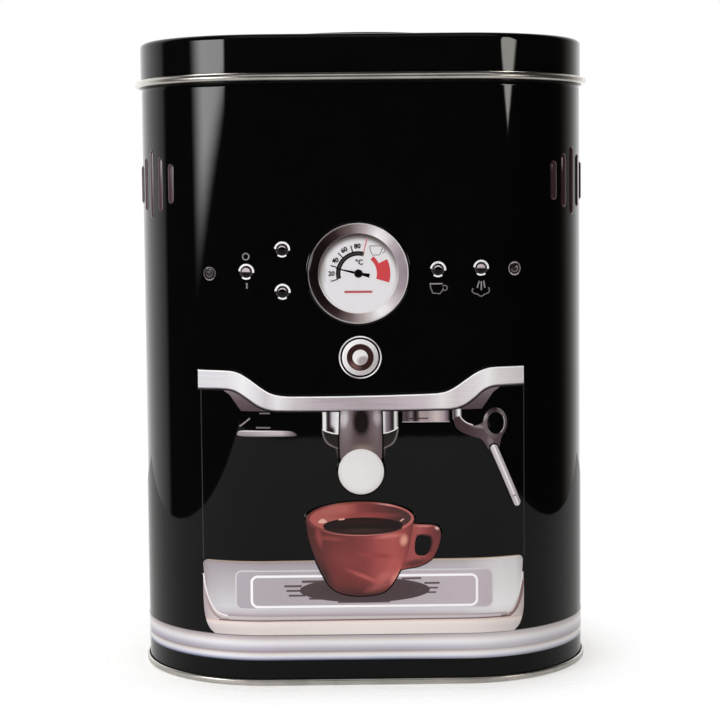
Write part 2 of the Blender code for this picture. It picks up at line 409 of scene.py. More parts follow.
def capsule(start: Point, end: Point, width: float) -> Outline:
    """A straight slot with round ends."""
    heading = math.degrees(math.atan2(end[1] - start[1], end[0] - start[0]))
    return arc(end, width / 2, heading - 90, 180, 10) + arc(start, width / 2, heading + 90, 180, 10)


def box(left: float, low: float, right: float, high: float) -> Outline:
    """An upright rectangle."""
    return [(left, low), (right, low), (right, high), (left, high)]


def flowing(points: Sequence[Point], steps: int = 5, closed: bool = True) -> Outline:
    """A smooth curve through points.

    Args:
        points: the points that it passes through.
        steps: how many parts each stretch is cut into.
        closed: whether it comes back to the first point.

    Returns:
        The curve's points.
    """
    count = len(points)
    made = []
    for index in range(count if closed else count - 1):
        corners = []
        for shift in (-1, 0, 1, 2):
            place = index + shift
            place = place % count if closed else min(max(place, 0), count - 1)
            corners.append(Vector(points[place]))
        a, b, c, d = corners
        span = (c - b).length
        leave = (c - a) * span / (span + (b - a).length)
        reach = (d - b) * span / (span + (d - c).length)
        for step in range(steps):
            t = step / steps
            here = b * (2 * t**3 - 3 * t * t + 1) + leave * (t**3 - 2 * t * t + t)
            here += c * (3 * t * t - 2 * t**3) + reach * (t**3 - t * t)
            made.append((here.x, here.y))
    return made if closed else made + [tuple(points[-1])]


def stroke(points: Sequence[Point], width: float) -> Outline:
    """The outline of a line of one width drawn through points.

    Args:
        points: the line's points.
        width: its width.

    Returns:
        The outline.
    """
    sides: tuple[Outline, Outline] = ([], [])
    for index, point in enumerate(points):
        before = Vector(points[max(index - 1, 0)])
        after = Vector(points[min(index + 1, len(points) - 1)])
        run = (after - before).normalized() * width / 2
        sides[0].append((point[0] + run.y, point[1] - run.x))
        sides[1].append((point[0] - run.y, point[1] + run.x))
    return sides[0] + sides[1][::-1]


def grown(outline: Sequence[Point], distance: float) -> Outline:
    """An outline that runs counter-clockwise, moved outwards.

    Args:
        outline: the outline.
        distance: how far it is moved.

    Returns:
        The larger outline.
    """
    made = []
    for index, point in enumerate(outline):
        here = Vector(point)
        before = (here - Vector(outline[index - 1])).normalized()
        after = (Vector(outline[(index + 1) % len(outline)]) - here).normalized()
        middle = (before + after).normalized()
        stretch = 1 / max(middle.dot(after), 0.5)
        made.append((here.x + middle.y * distance * stretch, here.y - middle.x * distance * stretch))
    return made


# --------------------------------------------------------------------------- rolled sheet metal


@dataclass(frozen=True)
class Girth:
    """The tin's outline in plan, an upright rectangle with round corners, in metres."""

    half_width: float
    half_depth: float
    corner: float = 40.0 * MM
    corner_steps: int = 40
    front_steps: int = 16

    @property
    def half_front(self) -> float:
        """Half the flat part of the front."""
        return self.half_width - self.corner

    @property
    def half_side(self) -> float:
        """Half the flat part of a side."""
        return self.half_depth - self.corner

    @property
    def bend(self) -> float:
        """The length of the wall round one corner."""
        return self.corner * math.pi / 2

    @property
    def half_girth(self) -> float:
        """The length of the wall from the middle of the front to the middle of the back."""
        return 2 * (self.half_front + self.bend + self.half_side)

    def point(self, along: float, offset: float) -> Vector:
        """The place of a distance along the wall from the middle of the front, moved outwards.

        Args:
            along: the distance along the wall's outside, positive to the right seen from the front.
            offset: how far it is moved outwards.

        Returns:
            The place in plan.
        """
        half = self.half_girth
        along = (along + half) % (2 * half) - half
        reach = abs(along)
        radius = self.corner + offset
        past_front = reach - self.half_front
        past_side = past_front - self.bend - 2 * self.half_side
        if past_front <= 0:
            x, y = reach, -self.half_side - radius
        elif past_front <= self.bend:
            turn = past_front / self.corner
            x = self.half_front + radius * math.sin(turn)
            y = -self.half_side - radius * math.cos(turn)
        elif past_side <= 0:
            x, y = self.half_front + radius, past_front - self.bend - self.half_side
        elif past_side <= self.bend:
            turn = past_side / self.corner
            x = self.half_front + radius * math.cos(turn)
            y = self.half_side + radius * math.sin(turn)
        else:
            x, y = half - reach, self.half_side + radius
        return Vector((math.copysign(x, along), y))

    def stations(self) -> list[float]:
        """Distances along the wall at which its facets meet, once round.

        Returns:
            The distances in order, from the back's left half to its right half.
        """
        half = [self.half_front * step / self.front_steps for step in range(self.front_steps)]
        half += [
            self.half_front + self.bend * step / self.corner_steps for step in range(self.corner_steps + 1)
        ]
        half += [self.half_girth - place for place in reversed(half)]
        return [-place for place in reversed(half[1:-1])] + half

    def ring(self, offset: float, height: float) -> list[Vector]:
        """The outline once round, moved outwards and up."""
        return [self.point(along, offset).to_3d() + Vector((0, 0, height)) for along in self.stations()]

    def round_ring(self, radius: float, height: float) -> list[Vector]:
        """A circle about the tin's axis, with its points on the outline's bearings."""
        flat = [self.point(along, 0).normalized() * radius for along in self.stations()]
        return [point.to_3d() + Vector((0, 0, height)) for point in flat]

    def roll(self, bm: bmesh.types.BMesh) -> None:
        """Rolls a flat mesh, whose x runs along the sheet and -y outwards, round the tin.

        Args:
            bm: the mesh.
        """
        for vert in bm.verts:
            place = self.point(vert.co.x, -vert.co.y)
            vert.co = (place.x, place.y, vert.co.z)


def finish_piece(
    name: str,
    bm: bmesh.types.BMesh,
    finishes: Sequence[Finish],
    body: str,
    sharp: float = 40.0,
) -> bpy.types.Object:
    """Turns a finished bmesh into a named piece that rides on a body.

    Args:
        name: the piece's name.
        bm: its mesh, in place, which is freed.
        finishes: the finishes of its material slots in order.
        body: the CAD body that it moves with.
        sharp: the angle in degrees from which an edge isn't shaded smooth.

    Returns:
        The piece.
    """
    mesh = bpy.data.meshes.new(name)
    bm.to_mesh(mesh)
    bm.free()
    for finish in finishes:
        mesh.materials.append(finish.material())
    mesh.shade_smooth()
    mesh.set_sharp_from_angle(angle=math.radians(sharp))
    piece = bpy.data.objects.new(name, mesh)
    bpy.context.scene.collection.objects.link(piece)
    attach(piece, body)
    log.info("%s: %d faces on %s", name, len(mesh.polygons), body)
    return piece


def pressed_shell(rings: Sequence[Sequence[Vector]], capped: bool) -> bmesh.types.BMesh:
    """An open sheet pressed through rings of points.

    Args:
        rings: the rings in order, each with the same number of points.
        capped: whether the first ring is filled.

    Returns:
        The mesh, with its first face upwards where it is capped, and outwards where it isn't.
    """
    bm = bmesh.new()
    place = bm.verts.layers.int.new("place")
    bmesh.ops.create_circle(bm, segments=len(rings[0]), radius=1, cap_ends=capped)
    bm.verts.ensure_lookup_table()
    for index, vert in enumerate(bm.verts):
        vert[place] = index
        vert.co = rings[0][index]
    if capped:
        bm.normal_update()
        if bm.faces[:][0].normal.z < 0:
            bmesh.ops.reverse_faces(bm, faces=bm.faces[:])
    edges = bm.edges[:]
    for points in rings[1:]:
        made = bmesh.ops.extrude_edge_only(bm, edges=edges)["geom"]
        verts = {item for item in made if isinstance(item, bmesh.types.BMVert)}
        edges = [item for item in made if isinstance(item, bmesh.types.BMEdge)]
        edges = [edge for edge in edges if edge.verts[0] in verts and edge.verts[1] in verts]
        for vert in verts:
            vert.co = points[vert[place]]
    if not capped:
        bmesh.ops.recalc_face_normals(bm, faces=bm.faces[:])
    return bm


def thicken(piece: bpy.types.Object, thickness: float, side: int, inner: int = 0) -> None:
    """Gives a shell its sheet's thickness on one side, with another material slot on that side.

    Args:
        piece: the shell.
        thickness: the sheet's thickness.
        side: 1 to add it outwards, -1 to add it inwards.
        inner: how many slots further on the added side's finish is.
    """
    sheet = piece.modifiers.new("Sheet", "SOLIDIFY")
    sheet.thickness = thickness
    sheet.offset = side
    sheet.material_offset = inner
    sheet.material_offset_rim = inner


# --------------------------------------------------------------------------- the printing press


@dataclass(frozen=True)
class Motif:
    """One shape of the decoration, laid out on the flat sheet in mm.

    Layer counts the passes of ink under it, floor is the height of the embossing that it lies on,
    and rise and slope are the height and the edge width of its own embossing.
    """

    name: str
    finish: Finish
    outlines: tuple[Outline, ...]
    hole: Outline | None = None
    layer: int = 1
    floor: float = 0.0
    rise: float = 0.0
    slope: float = 0.7
    corner: float = 0.0


@dataclass(frozen=True)
class Press:
    """Prints and embosses motifs on the sheet, then rolls them with it, in mm.

    Register and lift are how far the picture sits to the right of and above its own zero, film is
    the thickness of a pass of ink, root is how deep a slab starts inside the sheet, and facet is the
    width of the flats that a motif bends in at a corner.
    """

    girth: Girth
    register: float = -1.05
    lift: float = -0.15
    film: float = 0.03
    root: float = 0.12
    facet: float = 1.5
    shoulder_steps: int = 5
    body: str = "tin_body"
    slot: str = "printed_lacquer"

    def flat_faces(self, bm: bmesh.types.BMesh, motif: Motif) -> None:
        """Draws a motif's outlines as faces at its root, facing outwards.

        Args:
            bm: the empty mesh that they go into.
            motif: the shape and where it lies.
        """
        depth = (self.root - motif.floor) * MM
        loops = []
        for outline in motif.outlines + ((motif.hole,) if motif.hole else ()):
            verts = [
                bm.verts.new(((x + self.register) * MM, depth, (z + self.lift) * MM)) for x, z in outline
            ]
            if motif.hole:
                loops += [bm.edges.new((verts[index - 1], vert)) for index, vert in enumerate(verts)]
            else:
                bm.faces.new(verts)
        if motif.hole:
            bmesh.ops.bridge_loops(bm, edges=loops)
        if motif.corner:
            bmesh.ops.bevel(
                bm,
                geom=bm.verts[:],
                offset=motif.corner * MM,
                affect="VERTICES",
                segments=5,
                profile=0.5,
                material=-1,
            )
        bm.normal_update()
        turned = [face for face in bm.faces if face.normal.y > 0]
        bmesh.ops.reverse_faces(bm, faces=turned)

    def emboss(self, bm: bmesh.types.BMesh, faces: list[bmesh.types.BMFace], motif: Motif) -> None:
        """Raises the top of a motif through a rounded shoulder.

        Args:
            bm: the motif's mesh.
            faces: its top.
            motif: how high and how wide the shoulder is.
        """
        shares = [step / self.shoulder_steps for step in range(self.shoulder_steps + 1)]
        for last, share in zip(shares, shares[1:]):
            climb = [part * part * (3 - 2 * part) for part in (last, share)]
            bmesh.ops.inset_region(
                bm,
                faces=faces,
                use_boundary=True,
                use_even_offset=True,
                thickness=motif.slope * (share - last) * MM,
                depth=motif.rise * (climb[1] - climb[0]) * MM,
            )

    def facets(self, bm: bmesh.types.BMesh) -> None:
        """Cuts upright folds where a motif reaches round a corner of the tin.

        Args:
            bm: the motif's mesh, still flat.
        """
        low = min(vert.co.x for vert in bm.verts)
        high = max(vert.co.x for vert in bm.verts)
        bmesh.ops.triangulate(bm, faces=[face for face in bm.faces if len(face.verts) > 4])
        edge = self.girth.half_front
        pitch = self.facet * MM
        steps = math.ceil((max(-low, high) - edge) / pitch)
        folds = [edge + pitch * step for step in range(max(steps, 0))]
        for fold in [-place for place in folds] + folds:
            if low < fold < high:
                geom = bm.verts[:] + bm.edges[:] + bm.faces[:]
                bmesh.ops.bisect_plane(bm, geom=geom, dist=1e-7, plane_co=(fold, 0, 0), plane_no=(1, 0, 0))

    def add(self, motif: Motif) -> bpy.types.Object:
        """Makes the piece for a motif.

        Args:
            motif: the shape, where it lies and its finish.

        Returns:
            The piece, a closed slab that starts inside the sheet.
        """
        bm = bmesh.new()
        self.flat_faces(bm, motif)
        top = bmesh.ops.extrude_face_region(bm, geom=bm.faces[:], use_keep_orig=True)["geom"]
        verts = [item for item in top if isinstance(item, bmesh.types.BMVert)]
        faces = [item for item in top if isinstance(item, bmesh.types.BMFace)]
        height = self.root + self.film * motif.layer
        bmesh.ops.translate(bm, vec=(0, -height * MM, 0), verts=verts)
        if motif.rise:
            self.emboss(bm, faces, motif)
        self.facets(bm)
        uv = bm.loops.layers.uv.new(UV_NAME)
        for face in bm.faces:
            for loop in face.loops:
                loop[uv].uv = (loop.vert.co.x / MM - self.register, loop.vert.co.z / MM - self.lift)
        self.girth.roll(bm)
        bmesh.ops.remove_doubles(bm, verts=bm.verts[:], dist=1e-7)
        bmesh.ops.recalc_face_normals(bm, faces=bm.faces[:])
        return finish_piece(motif.name, bm, [motif.finish], self.body)

    def print_all(self, *motifs: Motif) -> None:
        """Prints motifs in order."""
        for motif in motifs:
            self.add(motif)


# --------------------------------------------------------------------------- tin: wall, bottom end, lid


@dataclass(frozen=True)
class BodyWall:
    """The rolled wall, in metres: black outside, bare inside, with a neck and a curled mouth."""

    girth: Girth
    foot: float
    top: float
    sheet: float = 0.3 * MM
    neck_depth: float = 0.35 * MM
    neck_low: float = 179.2 * MM
    neck_high: float = 180.1 * MM
    curl: float = 1.0 * MM
    seam_width: float = 3.6
    seam_low: float = 5.0
    seam_high: float = 176.0

    def build(self, press: Press) -> None:
        """Makes the wall and the lap seam up its back.

        Args:
            press: the press that embosses the seam.
        """
        centre = (-self.neck_depth - self.curl, self.top - self.curl)
        section = [(0.0, self.foot + rise * MM) for rise in (0.0, 0.05, 0.3, 60.0, 120.0)]
        section += [(0.0, self.neck_low - 0.4 * MM), (0.0, self.neck_low)]
        section += [(-self.neck_depth, self.neck_high), (-self.neck_depth, self.neck_high + 0.2 * MM)]
        section += arc(centre, self.curl, 0, 260, 16)
        bm = pressed_shell([self.girth.ring(offset, height) for offset, height in section], capped=False)
        wall = finish_piece("rolled_wall", bm, [BLACK_LACQUER, BARE_TINPLATE], press.body)
        thicken(wall, self.sheet, -1, inner=1)
        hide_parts("body_wall")
        back = self.girth.half_girth / MM - press.register
        half = self.seam_width / 2
        lap = box(back - half, self.seam_low, back + half, self.seam_high)
        press.add(Motif("lap_seam", BLACK_LACQUER, (lap,), layer=0, rise=0.3, slope=0.5))


@dataclass(frozen=True)
class BottomEnd:
    """The bare bottom end, in metres: a set-up panel and a rim seamed round the wall's foot."""

    girth: Girth
    sheet: float = 0.3 * MM
    inner: float = -0.9 * MM
    rise: float = 2.7 * MM
    panel_corner: float = 0.5 * MM
    foot_radius: float = 0.45 * MM
    reach: float = 0.85 * MM
    rim: float = 1.9 * MM
    lip: float = 0.5 * MM

    def build(self) -> None:
        """Makes the bottom end as one pressing."""
        bead = self.inner - 6.0 * MM
        section = [(bead - 1.6 * MM, self.rise), (bead - 1.0 * MM, self.rise)]
        section += [(bead - 0.5 * MM, self.rise + 0.25 * MM), (bead, self.rise + 0.25 * MM)]
        section += [(bead + 0.6 * MM, self.rise)]
        section += arc(
            (self.inner - self.panel_corner, self.rise - self.panel_corner), self.panel_corner, 90, -90, 6
        )
        section += arc((self.inner + self.foot_radius, self.foot_radius), self.foot_radius, 180, 90, 6)
        section += arc((self.reach - self.foot_radius, self.foot_radius), self.foot_radius, -90, 90, 6)
        section += arc((self.reach - self.lip, self.rim - self.lip), self.lip, 0, 90, 6)
        bm = pressed_shell([self.girth.ring(offset, height) for offset, height in section], capped=True)
        end = finish_piece("seamed_bottom_end", bm, [BARE_TINPLATE], "tin_body")
        thicken(end, self.sheet, 1)
        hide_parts("bottom_end")


@dataclass(frozen=True)
class Lid:
    """The slip lid, in metres: a round boss, a lacquered skirt and a bare curled bead."""

    girth: Girth
    foot: float
    top: float
    sheet: float = 0.3 * MM
    inner: float = -0.05 * MM
    edge: float = 1.5 * MM
    bead: float = 1.05 * MM
    boss: float = 35.0 * MM
    boss_height: float = 1.2 * MM
    boss_slope: float = 1.0 * MM

    def build(self) -> None:
        """Makes the lid as one pressing whose drawn side faces the wall."""
        under = self.top - self.boss_height - self.sheet
        inner_edge = self.edge - self.sheet
        shoulder = [step / 6 for step in range(7)]
        rings = [self.girth.round_ring(self.boss * 0.5, under + self.boss_height)]
        for share in shoulder:
            drop = share * share * (3 - 2 * share)
            radius = self.boss - self.boss_slope * (1 - share)
            rings.append(self.girth.round_ring(radius, under + self.boss_height * (1 - drop)))
        rings.append(self.girth.round_ring(self.boss + 0.4 * MM, under))
        section = [(self.inner - self.edge - 1.2 * MM, under)]
        section += arc((self.inner - inner_edge, under - inner_edge), inner_edge, 90, -90, 10)
        section += [(self.inner, under - 2.0 * MM), (self.inner, self.foot + self.bead * 2.6)]
        section += [(self.inner, self.foot + self.bead * 2.2)]
        section += arc((self.inner + self.bead, self.foot + self.bead), self.bead, 180, 295, 24)
        rings += [self.girth.ring(offset, height) for offset, height in section]
        bm = pressed_shell(rings, capped=True)
        bare_below = self.foot + 2.05 * self.bead
        rim = self.boss + 0.1 * MM
        for face in bm.faces:
            middle = face.calc_center_median()
            if middle.z < bare_below:
                face.material_index = 1
            elif middle.to_2d().length < rim:
                face.material_index = 2
        finishes = [LID_LACQUER, BARE_TINPLATE, BROWN_LACQUER]
        lid = finish_piece("slip_lid", bm, finishes, "lid")
        thicken(lid, self.sheet, 1)
        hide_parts("lid")


@dataclass(frozen=True)
class Bands:
    """Two silver bands printed round the foot of the wall, in mm."""

    press: Press

    def strip(self, name: str, low: float, high: float, ink: Ink) -> None:
        """Prints one band right round the tin.

        Args:
            name: the piece's name.
            low: the height of its lower edge.
            high: the height of its upper edge.
            ink: its ink.
        """
        top = 2.5 * self.press.film * MM
        root = -self.press.root * MM
        corners = [(root, low), (top, low), (top, high), (root, high)]
        rings = [self.press.girth.ring(offset, height * MM) for offset, height in corners]
        bm = pressed_shell(rings, capped=False)
        bmesh.ops.bridge_loops(bm, edges=[edge for edge in bm.edges if edge.is_boundary])
        uv = bm.loops.layers.uv.new(UV_NAME)
        for face in bm.faces:
            for loop in face.loops:
                loop[uv].uv = (loop.vert.co.x / MM, loop.vert.co.z / MM)
        bmesh.ops.recalc_face_normals(bm, faces=bm.faces[:])
        finish_piece(name, bm, [ink], self.press.body)

    def build(self) -> None:
        """Prints both bands, each blended like a turned metal moulding, with painted shade round the left
        corner and a painted highlight round the right one.
        """
        tall = upward(
            (10.15, "#978d92"), (10.65, "#a7a1ab"), (11.2, "#b0acb8"), (11.8, "#c6c0ca"),
            (12.35, "#d6d4dc"), (12.9, "#e0dee2"), (13.6, "#d6d0ce"), (14.1, "#c2b9b9"), (14.6, "#b0a5aa"),
            (14.95, "#a8a2a6"), (15.15, "#786e68"), (15.3, "#4a3f38"),
        )
        short = upward(
            (7.55, "#20232e"), (7.85, "#70758c"), (8.25, "#b0b1c2"), (8.7, "#d6d6e0"), (9.2, "#dedbdb"),
            (9.65, "#cfc7c5"), (9.9, "#bcb0ae"), (10.15, "#978d92"),
        )
        # Painted shade round the left corner and a painted highlight round the right one, laid over both
        # bands.
        ends = across(
            (-76, "#3a373a60"), (-66, "#3a373a48"), (-56, "#3a373a30"), (-44, "#3a373a00"),
            (10, "#ffffff00"), (44, "#ffffff34"), (80, "#ffffff28"),
        )
        self.strip("upper_silver_band", 10.13, 15.3, Ink("silver_band_ink", "#c0bcc0", (tall, ends)))
        self.strip("lower_silver_band", 7.55, 10.13, Ink("silver_edge_ink", "#c0bcc0", (short, ends)))


# --------------------------------------------------------------------------- decoration: gauge and controls


@dataclass(frozen=True)
class Gauge:
    """The round thermometer, in mm: an embossed bezel round a pale dial."""

    press: Press
    centre: Point = (-0.55, 123.75)
    bezel: float = 14.7
    opening: float = 11.7
    rise: float = 0.5

    def polar(self, angle: float, reach: float) -> Point:
        """The point at an angle in degrees and a distance from the dial's middle."""
        turn = math.radians(angle)
        return (self.centre[0] + reach * math.cos(turn), self.centre[1] + reach * math.sin(turn))

    def spoke(
        self, angle: float, inner: float, outer: float, width: float, end: float | None = None
    ) -> Outline:
        """A line drawn outwards at an angle, which may taper to another width.

        Args:
            angle: its angle in degrees.
            inner: where it starts, from the dial's middle.
            outer: where it ends.
            width: its width at the start.
            end: its width at the end, where that differs.

        Returns:
            The outline.
        """
        root, tip = Vector(self.polar(angle, inner)), Vector(self.polar(angle, outer))
        side = Vector((-math.sin(math.radians(angle)), math.cos(math.radians(angle))))
        far = width if end is None else end
        corners = [
            root - side * width / 2, tip - side * far / 2, tip + side * far / 2, root + side * width / 2
        ]
        return [(corner.x, corner.y) for corner in corners]

    def figure(self, name: str, text: str, middle: Point, height: float, turn: float, ink: Ink) -> None:
        """Prints generic figures of the scale as solid type.

        Args:
            name: the piece's name.
            text: the figures.
            middle: where their middle goes.
            height: their height in mm.
            turn: how far they are turned, in degrees.
            ink: the ink.
        """
        curve = bpy.data.curves.new(name + "_type", "FONT")
        curve.body = text
        curve.size = height * 1.42 * MM
        curve.align_x = "CENTER"
        curve.align_y = "CENTER"
        curve.resolution_u = 3
        curve.offset = 0.05 * MM
        drawn = bpy.data.objects.new(name + "_type", curve)
        bpy.context.scene.collection.objects.link(drawn)
        bpy.context.view_layer.update()
        flat = bpy.data.meshes.new_from_object(drawn)
        bpy.data.objects.remove(drawn)
        bm = bmesh.new()
        bm.from_mesh(flat)
        bpy.data.meshes.remove(flat)
        bmesh.ops.remove_doubles(bm, verts=bm.verts[:], dist=1e-7)
        place = Matrix.Translation(
            ((middle[0] + self.press.register) * MM, 0, (middle[1] + self.press.lift) * MM)
        )
        stand = Matrix.Rotation(math.radians(90), 4, "X") @ Matrix.Rotation(math.radians(turn), 4, "Z")
        bmesh.ops.transform(bm, matrix=place @ stand, verts=bm.verts[:])
        depth = (self.press.root - self.rise) * MM
        bmesh.ops.translate(bm, vec=(0, depth, 0), verts=bm.verts[:])
        top = bmesh.ops.extrude_face_region(bm, geom=bm.faces[:], use_keep_orig=True)["geom"]
        verts = [item for item in top if isinstance(item, bmesh.types.BMVert)]
        height_out = self.press.root + self.press.film * 5
        bmesh.ops.translate(bm, vec=(0, -height_out * MM, 0), verts=verts)
        uv = bm.loops.layers.uv.new(UV_NAME)
        for face in bm.faces:
            for loop in face.loops:
                loop[uv].uv = (
                    loop.vert.co.x / MM - self.press.register, loop.vert.co.z / MM - self.press.lift
                )
        self.press.girth.roll(bm)
        bmesh.ops.recalc_face_normals(bm, faces=bm.faces[:])
        finish_piece(name, bm, [ink], self.press.body)

    def build(self) -> None:
        """Prints the bezel, the dial and what is on it."""
        c = self.centre
        turned = sweep(
            c,
            (-180, "#130d0e"), (-140, "#1a1112"), (-118, "#342626"), (-100, "#6c5e5f"), (-82, "#b0a5a5"),
            (-62, "#ebe9ec"), (-52, "#e6e2e6"), (-38, "#c8bec2"), (-20, "#a0929b"), (0, "#968992"),
            (22, "#9c8f97"), (40, "#b8acb3"), (52, "#e2dee2"), (64, "#ebe8ec"), (80, "#b2a6a8"),
            (100, "#695b5b"), (120, "#312525"), (140, "#181112"), (180, "#130d0e"),
        )
        edge = sweep(
            c, (-180, "#6e696a"), (-90, "#b9b2b3"), (0, "#cfcacd"), (60, "#e6e3e4"), (120, "#8d8586"),
            (180, "#6e696a"),
        )
        lip = sweep(
            c, (-180, "#6a5f60"), (-140, "#e9e7e8"), (-95, "#d9d5d6"), (-30, "#e4e1e4"), (30, "#8d8486"),
            (90, "#5f5455"), (180, "#6a5f60"),
        )
        shade = Wash(
            Spread.ROUND, (c[0] + 0.2, c[1] - 1.1), (12.6, 12.6),
            ((0.0, "#2b2422ff"), (0.075, "#6e6664e0"), (0.18, "#c5c1c200")),
        )
        left = spot((c[0] - 11.6, c[1] + 3.0), (2.6, 9.5), "#8f8886", core=0.2)
        dial = Ink("pale_dial_ink", "#dfdde1", (left, shade), mottle=0.03)
        raised = self.rise
        base = Motif(
            "gauge_embossing", BLACK_LACQUER, (ellipse(c, self.bezel + 0.8, 96),), layer=0, rise=raised
        )
        self.press.print_all(
            base,
            Motif(
                "gauge_bezel",
                Ink("turned_steel_ink", "#8a7e80", (turned,), streak=0.12, streak_turn=35),
                (ellipse(c, self.bezel, 96),),
                hole=ellipse(c, self.opening, 96),
                floor=raised,
                rise=0.18,
                slope=0.5,
            ),
            Motif(
                "gauge_bezel_edge", Ink("bezel_edge_ink", "#bdb8b9", (edge,)), (ellipse(c, 14.9, 96),),
                hole=ellipse(c, 14.55, 96), floor=raised, layer=2, rise=0.15, slope=0.12,
            ),
            Motif("gauge_dial", dial, (ellipse(c, self.opening + 0.2, 96),), floor=raised, layer=1),
            Motif(
                "gauge_dial_lip", Ink("dial_lip_ink", "#d8d4d6", (lip,)), (ellipse(c, 12.0, 96),),
                hole=ellipse(c, 11.6, 96), floor=raised, layer=3,
            ),
        )
        black = Ink("scale_black_ink", "#0d0b0c")
        grey = Ink("scale_grey_ink", "#3a3637")
        red = Ink("scale_red_ink", "#c2444a", (spot((6.5, 124), (5, 5), "#c9494e"),))
        mauve = Ink("scale_mauve_ink", "#8f8489")
        pink = Ink("scale_hair_red_ink", "#c98a8c")
        ticks = tuple(self.spoke(angle, 6.3, 8.5, 0.32) for angle in (195.5, 163.5, 134, 104.5))
        hot = arc(c, 9.5, -17, 43, 20) + arc(c, 6.75, 26, 22, 8) + arc(c, 5.5, 48, -65, 24)
        cup = [
            (2.95, 131.85), (2.95, 131.2), (3.25, 130.1), (3.7, 129.15), (5.7, 129.15), (6.2, 129.9),
            (6.6, 131.1), (6.6, 131.85),
        ]
        needle = [
            self.spoke(167, 0.8, 6.8, 0.75, 0.26),
            self.spoke(-12, 0.8, 3.4, 0.7, 1.25),
        ]
        self.press.print_all(
            Motif("scale_band", black, (arc_band(c, 5.25, 6.6, 73, 122),), floor=raised, layer=2),
            Motif("scale_band_middle", grey, (arc_band(c, 5.6, 6.25, 74, 120),), floor=raised, layer=3),
            Motif("scale_ticks", black, ticks, floor=raised, layer=3),
            Motif("scale_hot_sector", red, (hot,), floor=raised, layer=2),
            Motif("scale_hot_line", pink, (self.spoke(75.5, 5.4, 10.7, 0.3, 0.5),), floor=raised, layer=3),
            Motif("dial_cup_mark", mauve, (stroke(cup + cup[:1], 0.28),), floor=raised, layer=2),
            Motif(
                "dial_cup_handle", mauve, (stroke(arc((6.5, 130.6), (0.95, 0.85), -80, 150, 10), 0.28),),
                floor=raised, layer=3,
            ),
            Motif(
                "dial_rule", Ink("dial_rule_ink", "#b5595c"), (capsule((-4.4, 118.3), (3.3, 118.3), 0.7),),
                floor=raised, layer=2,
            ),
            Motif("needle", black, tuple(needle), floor=raised, layer=4),
            Motif(
                "needle_hub", black, (ellipse((c[0] + 0.05, c[1] - 0.05), 1.25, 32),), floor=raised, layer=5,
                rise=0.12, slope=0.3,
            ),
        )
        figures = (
            ("20", (-8.5, 123.7), 0), ("40", (-7.3, 127.6), 12), ("60", (-4.65, 130.7), 28),
            ("80", (-0.75, 131.75), 4),
        )
        for index, (text, middle, turn) in enumerate(figures):
            self.figure(f"scale_figure_{index}", text, middle, 1.35, turn, black)
        self.figure("scale_unit", "\N{DEGREE SIGN}C", (-0.25, 127.0), 1.5, 0, black)


